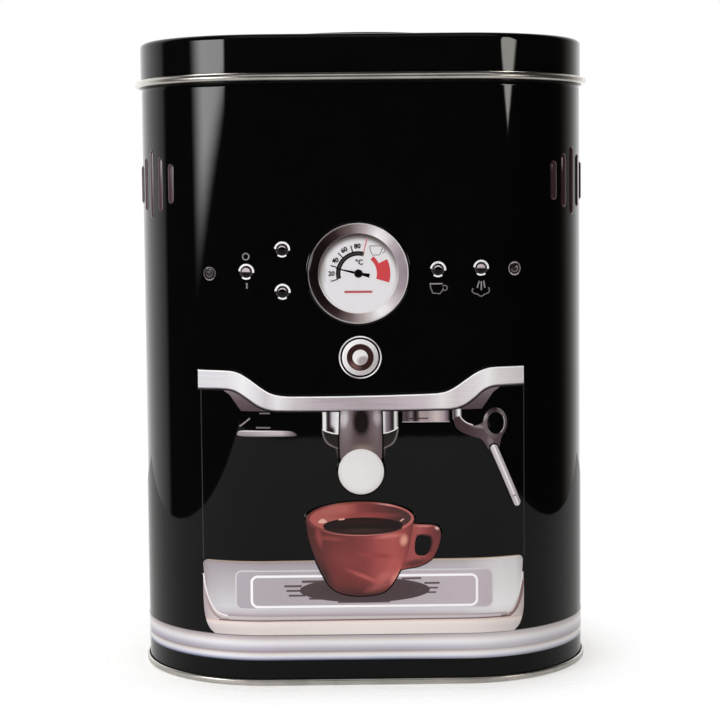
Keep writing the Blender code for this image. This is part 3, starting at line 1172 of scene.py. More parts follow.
@dataclass(frozen=True)
class Controls:
    """Push buttons, lamps, their marks and a plain round badge, in mm."""

    press: Press
    buttons: tuple[Point, ...] = (
        (-33.7, 124.5), (-23.0, 131.0), (-23.0, 118.5), (23.1, 124.7), (35.9, 125.0)
    )
    lamps: tuple[Point, ...] = ((-45.3, 124.0), (46.5, 124.7))

    def button(self, index: int, c: Point) -> None:
        """Prints a chromed button with its lights and a dark middle.

        Args:
            index: its number, which its pieces are named by.
            c: its middle.
        """
        bright = Ink("button_light_ink", "#eceaec", mottle=0.03)
        ring = Ink("button_ring_ink", "#4a4446")
        soft = Ink("button_soft_light_ink", "#c9bcc0")
        face = Ink(
            f"button_face_ink_{index}",
            "#2b2729",
            (
                spot((c[0] - 0.1, c[1] + 0.35), (1.1, 0.6), "#43302f"),
                spot((c[0], c[1] - 1.0), (1.6, 1.1), "#1b1819"),
            ),
        )
        upper = arc_band(c, 1.78, 2.38, -8, 182)
        lower = arc_band(c, 1.8, 2.3, 232, 74)
        self.press.print_all(
            Motif(f"button_{index}_ring", ring, (ellipse(c, 1.98, 40),), hole=ellipse(c, 1.72, 40), layer=1),
            Motif(
                f"button_{index}_face", face, (ellipse((c[0], c[1] - 0.05), 1.55, 40),), layer=1, rise=0.12,
                slope=0.4,
            ),
            Motif(f"button_{index}_light", bright, (upper, lower), layer=2),
            Motif(
                f"button_{index}_glint", soft, (arc_band((c[0] - 0.05, c[1] - 0.1), 0.75, 1.28, 25, 130),),
                layer=5, rise=0.06, slope=0.15,
            ),
        )

    def lamp(self, index: int, c: Point, edge: str, gleam: str) -> None:
        """Prints a small signal lamp.

        Args:
            index: its number, which its pieces are named by.
            c: its middle.
            edge: the colour of its rim.
            gleam: the colour of the light on its glass.
        """
        glass = Ink(f"lamp_glass_ink_{index}", "#1c1819", (spot((c[0], c[1] - 0.3), (1.2, 0.9), "#3a3334"),))
        rim = Ink(f"lamp_rim_ink_{index}", edge)
        lights = (arc_band(c, 1.72, 2.12, 228, 84), arc_band(c, 1.62, 1.95, 62, 66))
        gleam_spot = ellipse((c[0] + 0.55, c[1] + 0.45), 0.22, 16)
        gleam_bar = box(c[0] - 0.6, c[1] + 0.35, c[0] + 0.5, c[1] + 0.6)
        lights += (gleam_spot if index else gleam_bar,)
        self.press.print_all(
            Motif(f"lamp_{index}_glass", glass, (ellipse(c, 1.75, 40),), layer=1, rise=0.1, slope=0.5),
            Motif(f"lamp_{index}_rim", rim, (ellipse(c, 2.05, 40),), hole=ellipse(c, 1.75, 40), layer=2),
            Motif(
                f"lamp_{index}_inner", rim, (arc_band(c, 0.95, 1.2, 190, 220),), layer=4, rise=0.08,
                slope=0.08,
            ),
            Motif(
                f"lamp_{index}_light", Ink(f"lamp_light_ink_{index}", gleam), lights, layer=5, rise=0.08,
                slope=0.08,
            ),
        )

    def badge(self, c: Point) -> None:
        """Prints a plain round badge of concentric rings.

        Args:
            c: its middle.
        """
        silver = across(
            (0, "#b9b4b6"), (4, "#f0eef0"), (9, "#8f898b"), (13, "#e6e3e5"), turn=-35,
            start=(c[0] - 6, c[1] + 4),
        )
        plate = across((0, "#f1eff0"), (5, "#dcd8da"), (10, "#b5afb1"), turn=-50, start=(c[0] - 4, c[1] + 4))
        knob = Ink("badge_knob_ink", "#e4e1e2", (spot((c[0] + 1.0, c[1] - 1.1), (2.2, 1.8), "#a59c9d"),))
        brown = Ink(
            "badge_brown_ink",
            "#33201f",
            (spot((c[0] - 1.6, c[1] - 2.6), (2.6, 1.4), "#6f5552", turn=-30, core=0.2),),
        )
        self.press.print_all(
            Motif(
                "badge_ring", Ink("badge_silver_ink", "#dcdadc", (silver,)), (ellipse(c, 6.35, 72),),
                hole=ellipse(c, 5.95, 72),
            ),
            Motif(
                "badge_plate", Ink("badge_plate_ink", "#e2dfe0", (plate,)), (ellipse(c, 5.4, 72),),
                rise=0.1, slope=0.5,
            ),
            Motif("badge_dish", brown, (ellipse(c, 4.0, 56),), layer=6),
            Motif("badge_knob", knob, (ellipse(c, 2.3, 48),), layer=7, rise=0.08, slope=0.4),
        )

    def build(self) -> None:
        """Prints every control and mark."""
        for index, centre in enumerate(self.buttons):
            self.button(index, centre)
        self.lamp(0, self.lamps[0], "#5b5657", "#7b7476")
        self.lamp(1, self.lamps[1], "#8d8789", "#b3a9ac")
        self.badge((-0.2, 98.8))
        grey = Ink("mark_grey_ink", "#8d8788")
        dim = Ink("mark_dim_grey_ink", "#6f6a6b")
        cup = [(20.7, 120.4), (20.9, 119.2), (21.5, 117.7), (23.6, 117.5), (24.3, 118.4), (24.7, 119.2)]
        cloud = flowing(
            [
                (33.5, 119.0), (33.15, 118.3), (33.7, 117.5), (34.6, 117.3), (35.8, 116.6), (37.0, 117.2),
                (38.0, 117.6), (38.4, 118.4), (38.1, 119.2),
            ],
            4,
            closed=False,
        )
        steam = (
            stroke([(34.7, 119.1), (35.3, 121.2)], 0.42), stroke([(35.9, 118.4), (35.9, 121.0)], 0.42),
            stroke([(37.0, 119.1), (36.6, 121.2)], 0.42),
        )
        self.press.print_all(
            Motif(
                "mark_ring", grey, (ellipse((-33.8, 129.0), 1.12, 40),),
                hole=ellipse((-33.8, 129.0), 0.78, 40),
            ),
            Motif("mark_bar", grey, (box(-33.8, 119.5, -33.35, 121.2),)),
            Motif("mark_cup_lip", grey, (box(20.6, 120.25, 24.5, 120.65),), layer=2),
            Motif("mark_cup", dim, (stroke(cup, 0.36),)),
            Motif("mark_cup_handle", dim, (stroke(arc((25.0, 119.2), 0.75, 150, -300, 14), 0.34),), layer=2),
            Motif("mark_steam", grey, steam),
            Motif("mark_cloud", dim, (stroke(cloud, 0.36),), layer=2),
        )


# --------------------------------------------------------------------------- decoration: brewing group


@dataclass(frozen=True)
class BrewingGroup:
    """The brushed bar and what hangs under it, in mm."""

    press: Press
    rise: float = 0.5

    def bar(self) -> None:
        """Prints the long brushed bar on its own embossing."""
        top = [
            (49.25, 95.4), (40, 95.45), (37.2, 95.1), (34.2, 93.9), (30.5, 91.4), (27.2, 89.2),
            (24.2, 88.1), (20, 87.75), (0, 87.35),
        ]
        top += [
            (-20, 87.3), (-24, 87.55), (-27.2, 88.4), (-30, 90.1), (-33.6, 92.8), (-36.4, 94.4),
            (-39.2, 95.05), (-49.6, 95.15),
        ]
        low = [
            (-49.6, 89.6), (-40.2, 89.65), (-37.2, 88.95), (-34, 86.9), (-30.8, 84.7), (-28, 83.55),
            (-25, 83.1), (0, 83.0),
        ]
        low += [
            (25, 83.15), (28.2, 83.5), (31, 84.6), (33.6, 86.5), (36.4, 88.8), (39, 89.8), (42, 90.0),
            (49.25, 90.05),
        ]
        upper_line = flowing(top, 4, closed=False)
        lower_line = flowing(low, 4, closed=False)
        outline = upper_line + lower_line
        shade = across(
            (-49.6, "#cecdd2"), (-40, "#d6d3d8"), (-35, "#e6e6e8"), (-31, "#d8d5da"), (-28.5, "#cac4c9"),
            (-25, "#e0dfe2"), (-20, "#c5c0c2"), (-14, "#b3a8b0"), (0, "#a79ea3"), (10, "#b1a6ae"),
            (19, "#c5bcc2"), (24, "#dfdbdc"), (28.5, "#cac2c5"), (33, "#d8d3d7"), (37.5, "#edebed"),
            (41, "#dedadb"), (49.3, "#d8d2d5"),
        )
        emboss = Motif(
            "bar_embossing", BLACK_LACQUER, (grown(outline, 0.6),), layer=0, rise=self.rise, slope=0.6
        )
        ink = Ink("brushed_steel_ink", "#c5c0c4", (shade,), streak=0.22, grain=0.6)
        light = stroke([(x, z - 0.2) for x, z in upper_line], 0.38)
        dark = stroke([(x, z + 0.16) for x, z in lower_line], 0.3)
        self.press.print_all(
            emboss,
            Motif("brushed_bar", ink, (outline,), floor=self.rise),
            Motif("bar_upper_light", Ink("bar_light_ink", "#f3f1f3"), (light,), floor=self.rise, layer=2),
            Motif("bar_lower_shade", Ink("bar_shade_ink", "#857b82"), (dark,), floor=self.rise, layer=2),
        )
        for name, side, base in (("left", -1, 0.0), ("right", 1, 0.2)):
            points = [
                (41.6, 89.3 + base), (39.4, 88.0), (35.9, 83.1), (25.0, 82.9), (28.2, 83.6), (31, 84.9),
                (33.8, 87.0), (36.8, 89.0), (39.5, 89.9),
            ]
            web = [(side * x, z) for x, z in points]
            ink = Ink(
                f"bar_web_ink_{name}", "#5b4e53",
                (upward((83, "#4f4147"), (86, "#5e5156"), (89, "#7a6d72")),), streak=0.08,
            )
            self.press.add(Motif(f"bar_web_{name}", ink, (web[:: -side],)))

    def outlet(self) -> None:
        """Prints the hot water outlet at the left."""
        plate = flowing(
            [
                (-37.3, 76.1), (-36.4, 75.6), (-30, 75.35), (-22, 75.35), (-19.2, 75.7), (-20.4, 76.7),
                (-24, 77.05), (-31, 77.2), (-36.4, 77.1),
            ],
            4,
        )
        shade = across(
            (-37.2, "#8f868c"), (-34, "#9a9195"), (-29, "#b4a9ab"), (-24, "#bcb1b6"), (-21.4, "#8a7f84"),
            (-19.2, "#3c3133"),
        )
        under = upward((75.3, "#4b4346ff"), (75.9, "#6d636700"), (76.7, "#dcd6d800"), (77.1, "#dcd6d8ff"))
        self.press.print_all(
            Motif("outlet_plate", Ink("outlet_plate_ink", "#a69a9b", (shade, under)), (plate,)),
            Motif(
                "outlet_neck_light",
                Ink("outlet_light_ink", "#6e6669"),
                (capsule((-31.2, 78.1), (-27.4, 78.05), 0.5), capsule((-30.2, 82.35), (-27.4, 82.35), 0.45)),
            ),
            Motif(
                "outlet_arm_light", Ink("outlet_arm_ink", "#8c8285"),
                (stroke([(-36.4, 78.5), (-35.6, 79.0), (-33.2, 80.9)], 0.45),),
            ),
        )

    def collar(self) -> None:
        """Prints the chromed collar and the dark filter cup in it."""
        left = [(-11.65, 82.95), (-11.65, 77.35), (-10.6, 76.8), (-8.6, 76.2), (-6.2, 75.9), (-6.2, 82.95)]
        right = [(5.3, 82.95), (5.6, 75.9), (8.0, 76.3), (9.8, 77.0), (10.85, 77.8), (10.85, 83.05)]
        left_ramp = across(
            (-11.65, "#9a9899"), (-11.35, "#dededf"), (-10.75, "#e9e7e9"), (-10.4, "#777271"),
            (-10.1, "#241b1c"), (-9.6, "#352a2f"), (-9.25, "#6b666f"), (-8.8, "#bcb8bd"), (-7.6, "#dbdade"),
            (-6.9, "#e0dfe2"), (-6.3, "#b4b1b5"),
        )
        right_ramp = across(
            (5.3, "#f0ebed"), (5.75, "#8a8086"), (6.1, "#8d868b"), (6.45, "#e8e6ea"), (6.9, "#cbc5ca"),
            (7.3, "#89828a"), (8.2, "#645960"), (8.8, "#3d3236"), (9.25, "#181112"), (9.6, "#5d5959"),
            (9.95, "#e0dcde"), (10.4, "#c2bcbc"), (10.85, "#6e6969"),
        )
        dip = spot((-9.0, 76.6), (1.5, 2.4), "#241b1d", core=0.4)
        foot = flowing(
            [
                (-11.65, 77.5), (-11.55, 75.4), (-10.6, 73.4), (-9.2, 72.3), (-6.8, 71.7), (-6.8, 77.0),
                (-9.5, 77.5),
            ],
            5,
        )
        foot_right = flowing(
            [(5.8, 71.5), (8.2, 72.1), (9.7, 73.2), (10.6, 75.2), (10.85, 77.8), (8.5, 77.4), (5.8, 77.0)],
            5,
        )
        line = Ink("filter_cup_line_ink", "#6d6466")
        dark = Ink("filter_cup_ink", "#231e1e")
        inner_left = [(x + (0.38 if x < -9 else 0.2), z + 0.35) for x, z in foot]
        inner_right = [(x - (0.38 if x > 8 else 0.2), z + 0.35) for x, z in foot_right]
        spout = flowing([(-7.7, 72.2), (-7.5, 70.0), (-6.9, 68.3), (-6.0, 67.8), (-6.0, 73.0)], 4)
        spout_right = flowing([(5.6, 67.9), (6.5, 68.6), (7.0, 70.0), (7.1, 71.8), (5.6, 73.0)], 4)
        self.press.print_all(
            Motif("filter_spout", Ink("filter_spout_ink", "#3b3335"), (spout, spout_right)),
            Motif("filter_cup_edge", line, (foot, foot_right), layer=2),
            Motif("filter_cup", dark, (inner_left, inner_right), layer=3),
            Motif("collar_left", Ink("collar_left_ink", "#c0bcc0", (left_ramp, dip)), (left,), layer=4),
            Motif("collar_right", Ink("collar_right_ink", "#a09aa0", (right_ramp,)), (right,), layer=4),
            Motif("collar_left_rim", Ink("collar_rim_ink", "#e6e2e4"), (stroke(left[1:5], 0.34),), layer=5),
            Motif("collar_right_rim", Ink("collar_rim_ink", "#e6e2e4"), (stroke(right[1:5], 0.3),), layer=5),
        )

    def handle(self) -> None:
        """Prints the handle seen end on: a dark neck and a pale round knob, both embossed."""
        neck = [
            (-6.2, 83.2), (-6.35, 79), (-6.6, 74), (-6.5, 69), (-5.2, 66), (4.8, 66), (6.0, 69), (6.1, 74),
            (6.0, 79), (5.95, 83.2),
        ]
        knob = (-0.25, 64.65)
        radius = 6.8
        shape = [(-6.2, 83.2), (-6.6, 74)] + arc(knob, radius, 156, 228, 40) + [(6.1, 74), (5.95, 83.2)]
        ramp = across(
            (-6.5, "#6f6467"), (-5.6, "#857a7f"), (-4.4, "#83787b"), (-3.2, "#74686a"), (-2.2, "#564749"),
            (-0.4, "#4a3c3d"), (1.6, "#4f4144"), (2.8, "#66585b"), (4.4, "#756a6e"), (5.4, "#6c6064"),
            (6.1, "#4c3f42"),
        )
        # Printed shade: the drawn neck darkens towards its foot.
        foot_shade = upward(
            (66, "#594b4cff"), (71, "#5e4f50d0"), (74, "#5e4f5090"), (78.5, "#5e4f5000"), (83, "#5e4f5000")
        )
        glow = spot((0.3, 71.4), (4.2, 1.9), "#7f6f68", core=0.25)
        left_light = spot((-5.2, 80.6), (1.7, 3.4), "#c0babe", turn=-6, core=0.35)
        right_light = spot((4.6, 80.8), (1.5, 3.0), "#a69ca1", turn=6, core=0.3)
        mouth = spot((-0.1, 79.6), (2.9, 5.0), "#1b1516", core=0.6)
        neck_ink = Ink(
            "handle_neck_ink", "#63555a", (ramp, foot_shade, glow, left_light, right_light, mouth), streak=0.08,
            streak_turn=90,
        )
        pale = Wash(
            Spread.ROUND,
            (knob[0], knob[1] + 0.5),
            (7.6, 7.6),
            ((0.0, "#9a9594"), (0.1, "#cfcbca"), (0.25, "#dad8d9"), (1.0, "#dedddd")),
        )
        self.press.print_all(
            Motif(
                "handle_embossing", BLACK_LACQUER, (grown(shape, 0.6),), layer=0, rise=self.rise, slope=0.6
            ),
            Motif("handle_neck", neck_ink, (neck,), floor=self.rise, layer=1),
            Motif(
                "handle_knob", Ink("ivory_knob_ink", "#dbd9da", (pale,), mottle=0.03),
                (ellipse(knob, radius, 72),), floor=self.rise, layer=2, rise=0.1, slope=0.5,
            ),
        )

    def steam_arm(self) -> None:
        """Prints the valve block, the pipe, the swivel ring and the steam wand."""
        block_ramp = across(
            (12.1, "#241e20"), (12.7, "#554a4e"), (13.4, "#3f3337"), (14.1, "#5a5055"), (14.8, "#7d7076"),
            (15.5, "#3b3238"), (16.1, "#0e090b"), (16.8, "#4d4343"), (17.5, "#a39392"), (19.5, "#9b8d8f"),
            (22.4, "#c4b6b6"), (24.4, "#a39497"), (25.4, "#776770"), (26.1, "#2e242a"),
        )
        foot_light = upward((79.2, "#cfc6c9ff"), (79.65, "#8f858900"), (83, "#8f858900"))
        pipe_ramp = across(
            (27.0, "#3c3838"), (27.35, "#757071"), (27.7, "#3a3134"), (28.1, "#807a7c"), (28.5, "#bdb8bc"),
            (28.95, "#ebe8ed"), (29.3, "#dedbdf"), (29.6, "#6c676b"), (29.95, "#141112"),
        )
        elbow = flowing(
            [
                (27.6, 80.3), (28.0, 77.8), (29.6, 76.3), (32.6, 75.0), (35.6, 74.0), (37.0, 72.4),
                (38.0, 70.6), (39.8, 70.1), (41.2, 71.2), (41.7, 73.4), (42.2, 75.6), (39.0, 77.6),
                (36.6, 79.2), (35.2, 78.4), (33.4, 78.0), (31.4, 78.7), (30.2, 80.0), (29.2, 80.9),
            ],
            5,
        )
        elbow_ink = Ink(
            "swivel_arm_ink",
            "#4a3b40",
            (
                across((27.6, "#3c2f32"), (32, "#453539"), (37, "#57484d"), (41.5, "#504247")),
                spot((34.6, 77.9), (3.2, 0.8), "#8b8083", turn=-12, core=0.3),
                spot((38.6, 72.8), (1.2, 2.6), "#7a6c70", turn=20, core=0.3),
            ),
        )
        ring_ink = Ink(
            "swivel_ring_ink",
            "#53464a",
            (
                sweep(
                    (40, 78.7), (-180, "#6b5f62"), (-120, "#6a5c60"), (-60, "#4a3c40"), (0, "#55484c"),
                    (50, "#736a6c"), (90, "#2a2021"), (140, "#4d4144"), (180, "#6b5f62"),
                ),
                spot((36.9, 80.6), (0.9, 1.6), "#9c9294", turn=-20, core=0.3),
            ),
        )
        wand = [(39.5, 71.1), (46.8, 54.5)]
        normal = math.degrees(math.atan2(wand[1][1] - wand[0][1], wand[1][0] - wand[0][0])) + 90
        wand_ramp = across(
            (-1.25, "#8a7f84"), (-0.85, "#cfc6ca"), (-0.45, "#bfb9bd"), (0.0, "#f2edf1"), (0.3, "#e0dade"),
            (0.6, "#a89fa4"), (1.0, "#b4aeb2"), (1.25, "#7c7176"),
            turn=normal,
            start=wand[0],
        )
        self.press.print_all(
            Motif(
                "valve_block", Ink("valve_block_ink", "#8d8084", (block_ramp, foot_light)),
                (box(12.1, 79.25, 26.2, 83.1),), layer=2,
            ),
            Motif(
                "valve_slot", Ink("valve_slot_ink", "#33292c"),
                (capsule((14.4, 80.4), (19.8, 80.4), 0.35),), layer=3,
            ),
            Motif(
                "steam_pipe",
                Ink("steam_pipe_ink", "#8d8689", (pipe_ramp,)),
                ([(26.95, 83.1), (27.1, 80.4), (27.9, 78.9), (30.3, 79.6), (29.95, 80.8), (29.75, 83.1)],),
                layer=2,
            ),
            Motif(
                "steam_pipe_light",
                Ink("steam_pipe_light_ink", "#d9d3d6"),
                (
                    stroke(
                        flowing([(29.2, 81.2), (29.9, 80.1), (31.4, 78.9), (33.2, 78.2)], 4, closed=False),
                        0.32,
                    ),
                ),
                layer=4,
            ),
            Motif("swivel_arm", elbow_ink, (elbow,), layer=3),
            Motif(
                "swivel_ring", ring_ink, (ellipse((40.0, 78.7), (3.75, 4.6), 56),),
                hole=ellipse((40.15, 78.65), (2.65, 3.3), 56), layer=4, rise=0.08, slope=0.4,
            ),
            Motif("swivel_ring_hole", BLACK_LACQUER, (ellipse((40.15, 78.65), (2.7, 3.35), 56),), layer=4),
            Motif(
                "swivel_ring_light", Ink("swivel_light_ink", "#a59c9f"),
                (stroke(arc((40.15, 78.65), (2.75, 3.4), -60, 95, 16), 0.28),), layer=7, rise=0.05,
                slope=0.1,
            ),
            Motif(
                "wand_embossing", BLACK_LACQUER, (capsule(wand[0], wand[1], 3.5),), layer=0, rise=self.rise,
                slope=0.6,
            ),
            Motif(
                "steam_wand", Ink("steam_wand_ink", "#c4bec2", (wand_ramp,)),
                (capsule(wand[0], wand[1], 2.3),), floor=self.rise, layer=1,
            ),
            Motif(
                "steam_wand_tip", Ink("steam_wand_tip_ink", "#8f868a"),
                (stroke([(45.3, 56.3), (46.6, 56.7)], 0.4),), floor=self.rise, layer=2,
            ),
        )

    def build(self) -> None:
        """Prints the whole group."""
        # Painted highlight: thin grey lines where the window panel's embossed edges catch the light; the
        # edges are not raised here.
        line = Ink("window_edge_highlight_ink", "#33302f")
        self.press.add(Motif("window_edge_highlights", line, (box(-49.15, 38, -48.8, 89.4), box(49.35, 38, 49.7, 90))))
        self.outlet()
        self.collar()
        self.steam_arm()
        self.handle()
        self.bar()


# --------------------------------------------------------------------------- decoration: cup and tray


@dataclass(frozen=True)
class Cup:
    """The brick red cup of coffee, in mm, embossed with its handle."""

    press: Press
    rim: Point = (-0.75, 50.5)
    rim_reach: Point = (16.1, 5.15)
    rise: float = 0.5

    def shadow(self) -> None:
        """Prints the cup's shadow and the slots of the grille."""
        ink = Ink("cup_shadow_ink", "#4d4144", (spot((0.5, 28.9), (19, 4), "#4a3c3f"),))
        slots = [
            capsule((-23.3, 30.25), (-18.6, 30.25), 0.65),
            capsule((-22.7, 28.85), (-18.5, 28.85), 0.6),
            capsule((-22.0, 27.4), (-17.5, 27.4), 0.6),
            capsule((-18.0, 31.6), (-11.5, 31.6), 0.75),
            capsule((18.6, 30.8), (22.7, 30.8), 0.6),
            capsule((18.6, 29.35), (22.2, 29.35), 0.55),
            capsule((18.0, 28.0), (21.7, 28.0), 0.5),
            capsule((11.8, 32.2), (17.2, 32.3), 0.6),
            capsule((-16.0, 26.4), (-9.0, 26.4), 0.6),
            capsule((9.0, 26.9), (15.6, 26.9), 0.5),
            capsule((-7.3, 25.35), (7.8, 25.35), 0.65),
        ]
        self.press.add(Motif("cup_shadow", ink, (ellipse((0.5, 28.9), (19.5, 3.75), 64),), layer=4))
        self.press.add(Motif("grille_slots", Ink("grille_slot_ink", "#5c4f53"), tuple(slots), layer=3))

    def build(self) -> None:
        """Prints the cup, its handle, the rim, the inside and the coffee."""
        side_left = [
            (-16.85, 50.3), (-16.2, 45.2), (-14.5, 39.6), (-12.3, 34.4), (-9.6, 30.0), (-5.9, 27.9),
            (0.0, 27.25),
        ]
        side_right = [(5.9, 28.2), (8.7, 30.7), (11.5, 35.7), (13.7, 41.4), (15.35, 50.3)]
        sides = flowing(side_left + side_right, 5, closed=False)
        body = sides + arc(self.rim, self.rim_reach, 0, 180, 36)[1:-1]
        handle = flowing(
            [
                (14.2, 48.5), (11.0, 42.0), (10.6, 35.4), (13.6, 35.5), (17.1, 36.2), (20.5, 38.1),
                (22.0, 40.4), (22.9, 42.8), (23.35, 45.6), (22.8, 47.6), (20.7, 48.4), (17.5, 48.55),
            ],
            5,
        )
        gap = flowing(
            [
                (16.3, 45.1), (15.6, 42.9), (15.7, 40.2), (16.6, 39.3), (18.7, 39.35), (19.8, 40.4),
                (20.5, 43.6), (20.1, 44.9), (18.4, 45.25),
            ],
            5,
        )
        gap_edge = flowing(
            [(16.2, 45.3), (18.4, 45.5), (20.3, 45.1), (20.75, 43.6), (20.1, 40.4)], 5, closed=False
        )
        body_ink = Ink(
            "brick_red_cup_ink",
            "#7a3837",
            (
                across(
                    (-17, "#452826"), (-13, "#5a2e2d"), (-8, "#6a3332"), (-3, "#703534"), (1, "#803c3b"),
                    (5, "#964a48"), (9, "#a4504d"), (12, "#944745"), (14, "#7a3a3a"), (15.5, "#612f2f"),
                ),
                upward((27, "#3c2423ff"), (29.2, "#4f2c2bd0"), (33.5, "#70363500"), (50, "#70363500")),
                spot((5.0, 30.2), (6.0, 1.5), "#8f4c4a", turn=20, core=0.2),
                spot((9.9, 33.2), (1.7, 3.6), "#c77d75", turn=-26, core=0.2),
                spot((6.8, 33.2), (5.2, 2.0), "#b05f5b", turn=30, core=0.2),
                spot((-4.5, 38.0), (8.0, 5.0), "#7c3b3a", turn=-20, core=0.2),
                spot((4.0, 39.4), (7.5, 1.1), "#8d3f3f", turn=-4, core=0.3),
                spot((9.5, 36.4), (3.0, 3.6), "#a9524f", turn=-20, core=0.3),
                spot((0.8, 32.9), (7.5, 0.9), "#a85552", turn=-22, core=0.25),
                spot((8.0, 45.2), (5.5, 0.9), "#bb6a64", turn=6, core=0.3),
                spot((-13.0, 45.0), (1.2, 4.0), "#8c4441", turn=12, core=0.2),
                spot((-11.5, 33.5), (2.2, 8.0), "#3f2928", turn=24, core=0.2),
                spot((12.3, 43.9), (1.5, 2.2), "#cf9080", turn=-12, core=0.35),
                spot((-9.5, 44.6), (5.5, 0.9), "#843f3d", turn=-7, core=0.3),
            ),
            mottle=0.07,
        )
        handle_ink = Ink(
            "brick_red_handle_ink",
            "#653535",
            (
                across((13, "#8f4745"), (17, "#9a4e4c"), (20, "#7c3a3a"), (22.5, "#603131")),
                spot((21.5, 42), (2.2, 4.5), "#6f3736", core=0.3),
                spot((16, 37.0), (5.5, 1.6), "#5a302f", turn=10, core=0.3),
                spot((18.4, 48.1), (3.6, 0.5), "#b5716c", core=0.4),
                spot((22.2, 47.4), (0.9, 0.6), "#cfa9a2", turn=-35, core=0.4),
            ),
        )
        rim_ink = Ink(
            "cup_rim_ink",
            "#8f4744",
            (
                across(
                    (-17, "#5a302f"), (-12, "#7d3e3c"), (-6, "#a86660"), (0, "#c68275"), (6, "#cf9290"),
                    (11, "#b8655f"), (15.5, "#a9605d"),
                ),
                spot((-1, 55.2), (10, 1.1), "#7d4237", core=0.4),
            ),
        )
        inside_ink = Ink(
            "cup_inside_ink",
            "#803c39",
            (
                across(
                    (-16, "#a4524e"), (-10, "#a15a54"), (-5, "#a45853"), (-1, "#7e3a38"), (4, "#632f2e"),
                    (10, "#4b2c2b"), (15, "#412c2b"),
                ),
                spot((0, 51.4), (13, 1.4), "#8b403d", core=0.2),
            ),
        )
        coffee_ink = Ink(
            "coffee_ink",
            "#1c1010",
            (
                spot((0, 46.9), (12, 1.1), "#35231f", core=0.2),
                spot((0.5, 49.7), (11, 1.0), "#26120f", core=0.3),
            ),
        )
        pink = Ink("cup_glint_ink", "#d9a59a")
        c, reach = self.rim, self.rim_reach
        inside = ellipse((c[0] + 0.1, c[1] + 0.15), (reach[0] - 0.95, reach[1] - 0.75), 72)
        coffee = ellipse((0.15, 48.4), (11.9, 2.5), 64)
        lift = self.rise
        self.shadow()
        self.press.print_all(
            Motif("cup_embossing", BLACK_LACQUER, (grown(body, 0.65),), layer=0, rise=lift, slope=0.65),
            Motif(
                "cup_handle_embossing", BLACK_LACQUER, (grown(handle, 0.55),), layer=0, rise=lift - 0.05,
                slope=0.55,
            ),
            Motif("cup_handle", handle_ink, (handle,), floor=lift - 0.05),
            Motif("cup_handle_gap", BLACK_LACQUER, (gap,), floor=lift - 0.05, layer=2),
            Motif(
                "cup_handle_gap_edge", Ink("cup_gap_edge_ink", "#3f2323"), (stroke(gap_edge, 0.35),),
                floor=lift - 0.05, layer=3,
            ),
            Motif("cup_body", body_ink, (body,), floor=lift),
            Motif("cup_rim", rim_ink, (ellipse(c, reach, 72),), floor=lift, layer=2, rise=0.06, slope=0.4),
            Motif("cup_inside", inside_ink, (inside,), floor=lift, layer=5),
            Motif("coffee", coffee_ink, (coffee,), floor=lift, layer=6),
            Motif(
                "coffee_edge", Ink("coffee_edge_ink", "#3b2523"),
                (stroke(arc((0.15, 48.4), (12.1, 2.6), 195, 150, 40), 0.35),), floor=lift, layer=7,
            ),
            Motif(
                "cup_glints",
                pink,
                (
                    flowing([(-13.3, 49.6), (-11.9, 50.7), (-10.5, 49.7), (-12, 49.3)], 4),
                    capsule((-6.9, 50.35), (-5.5, 50.5), 0.4),
                    capsule((11.4, 49.8), (12.2, 50.3), 0.4),
                ),
                floor=lift,
                layer=8,
            ),
        )


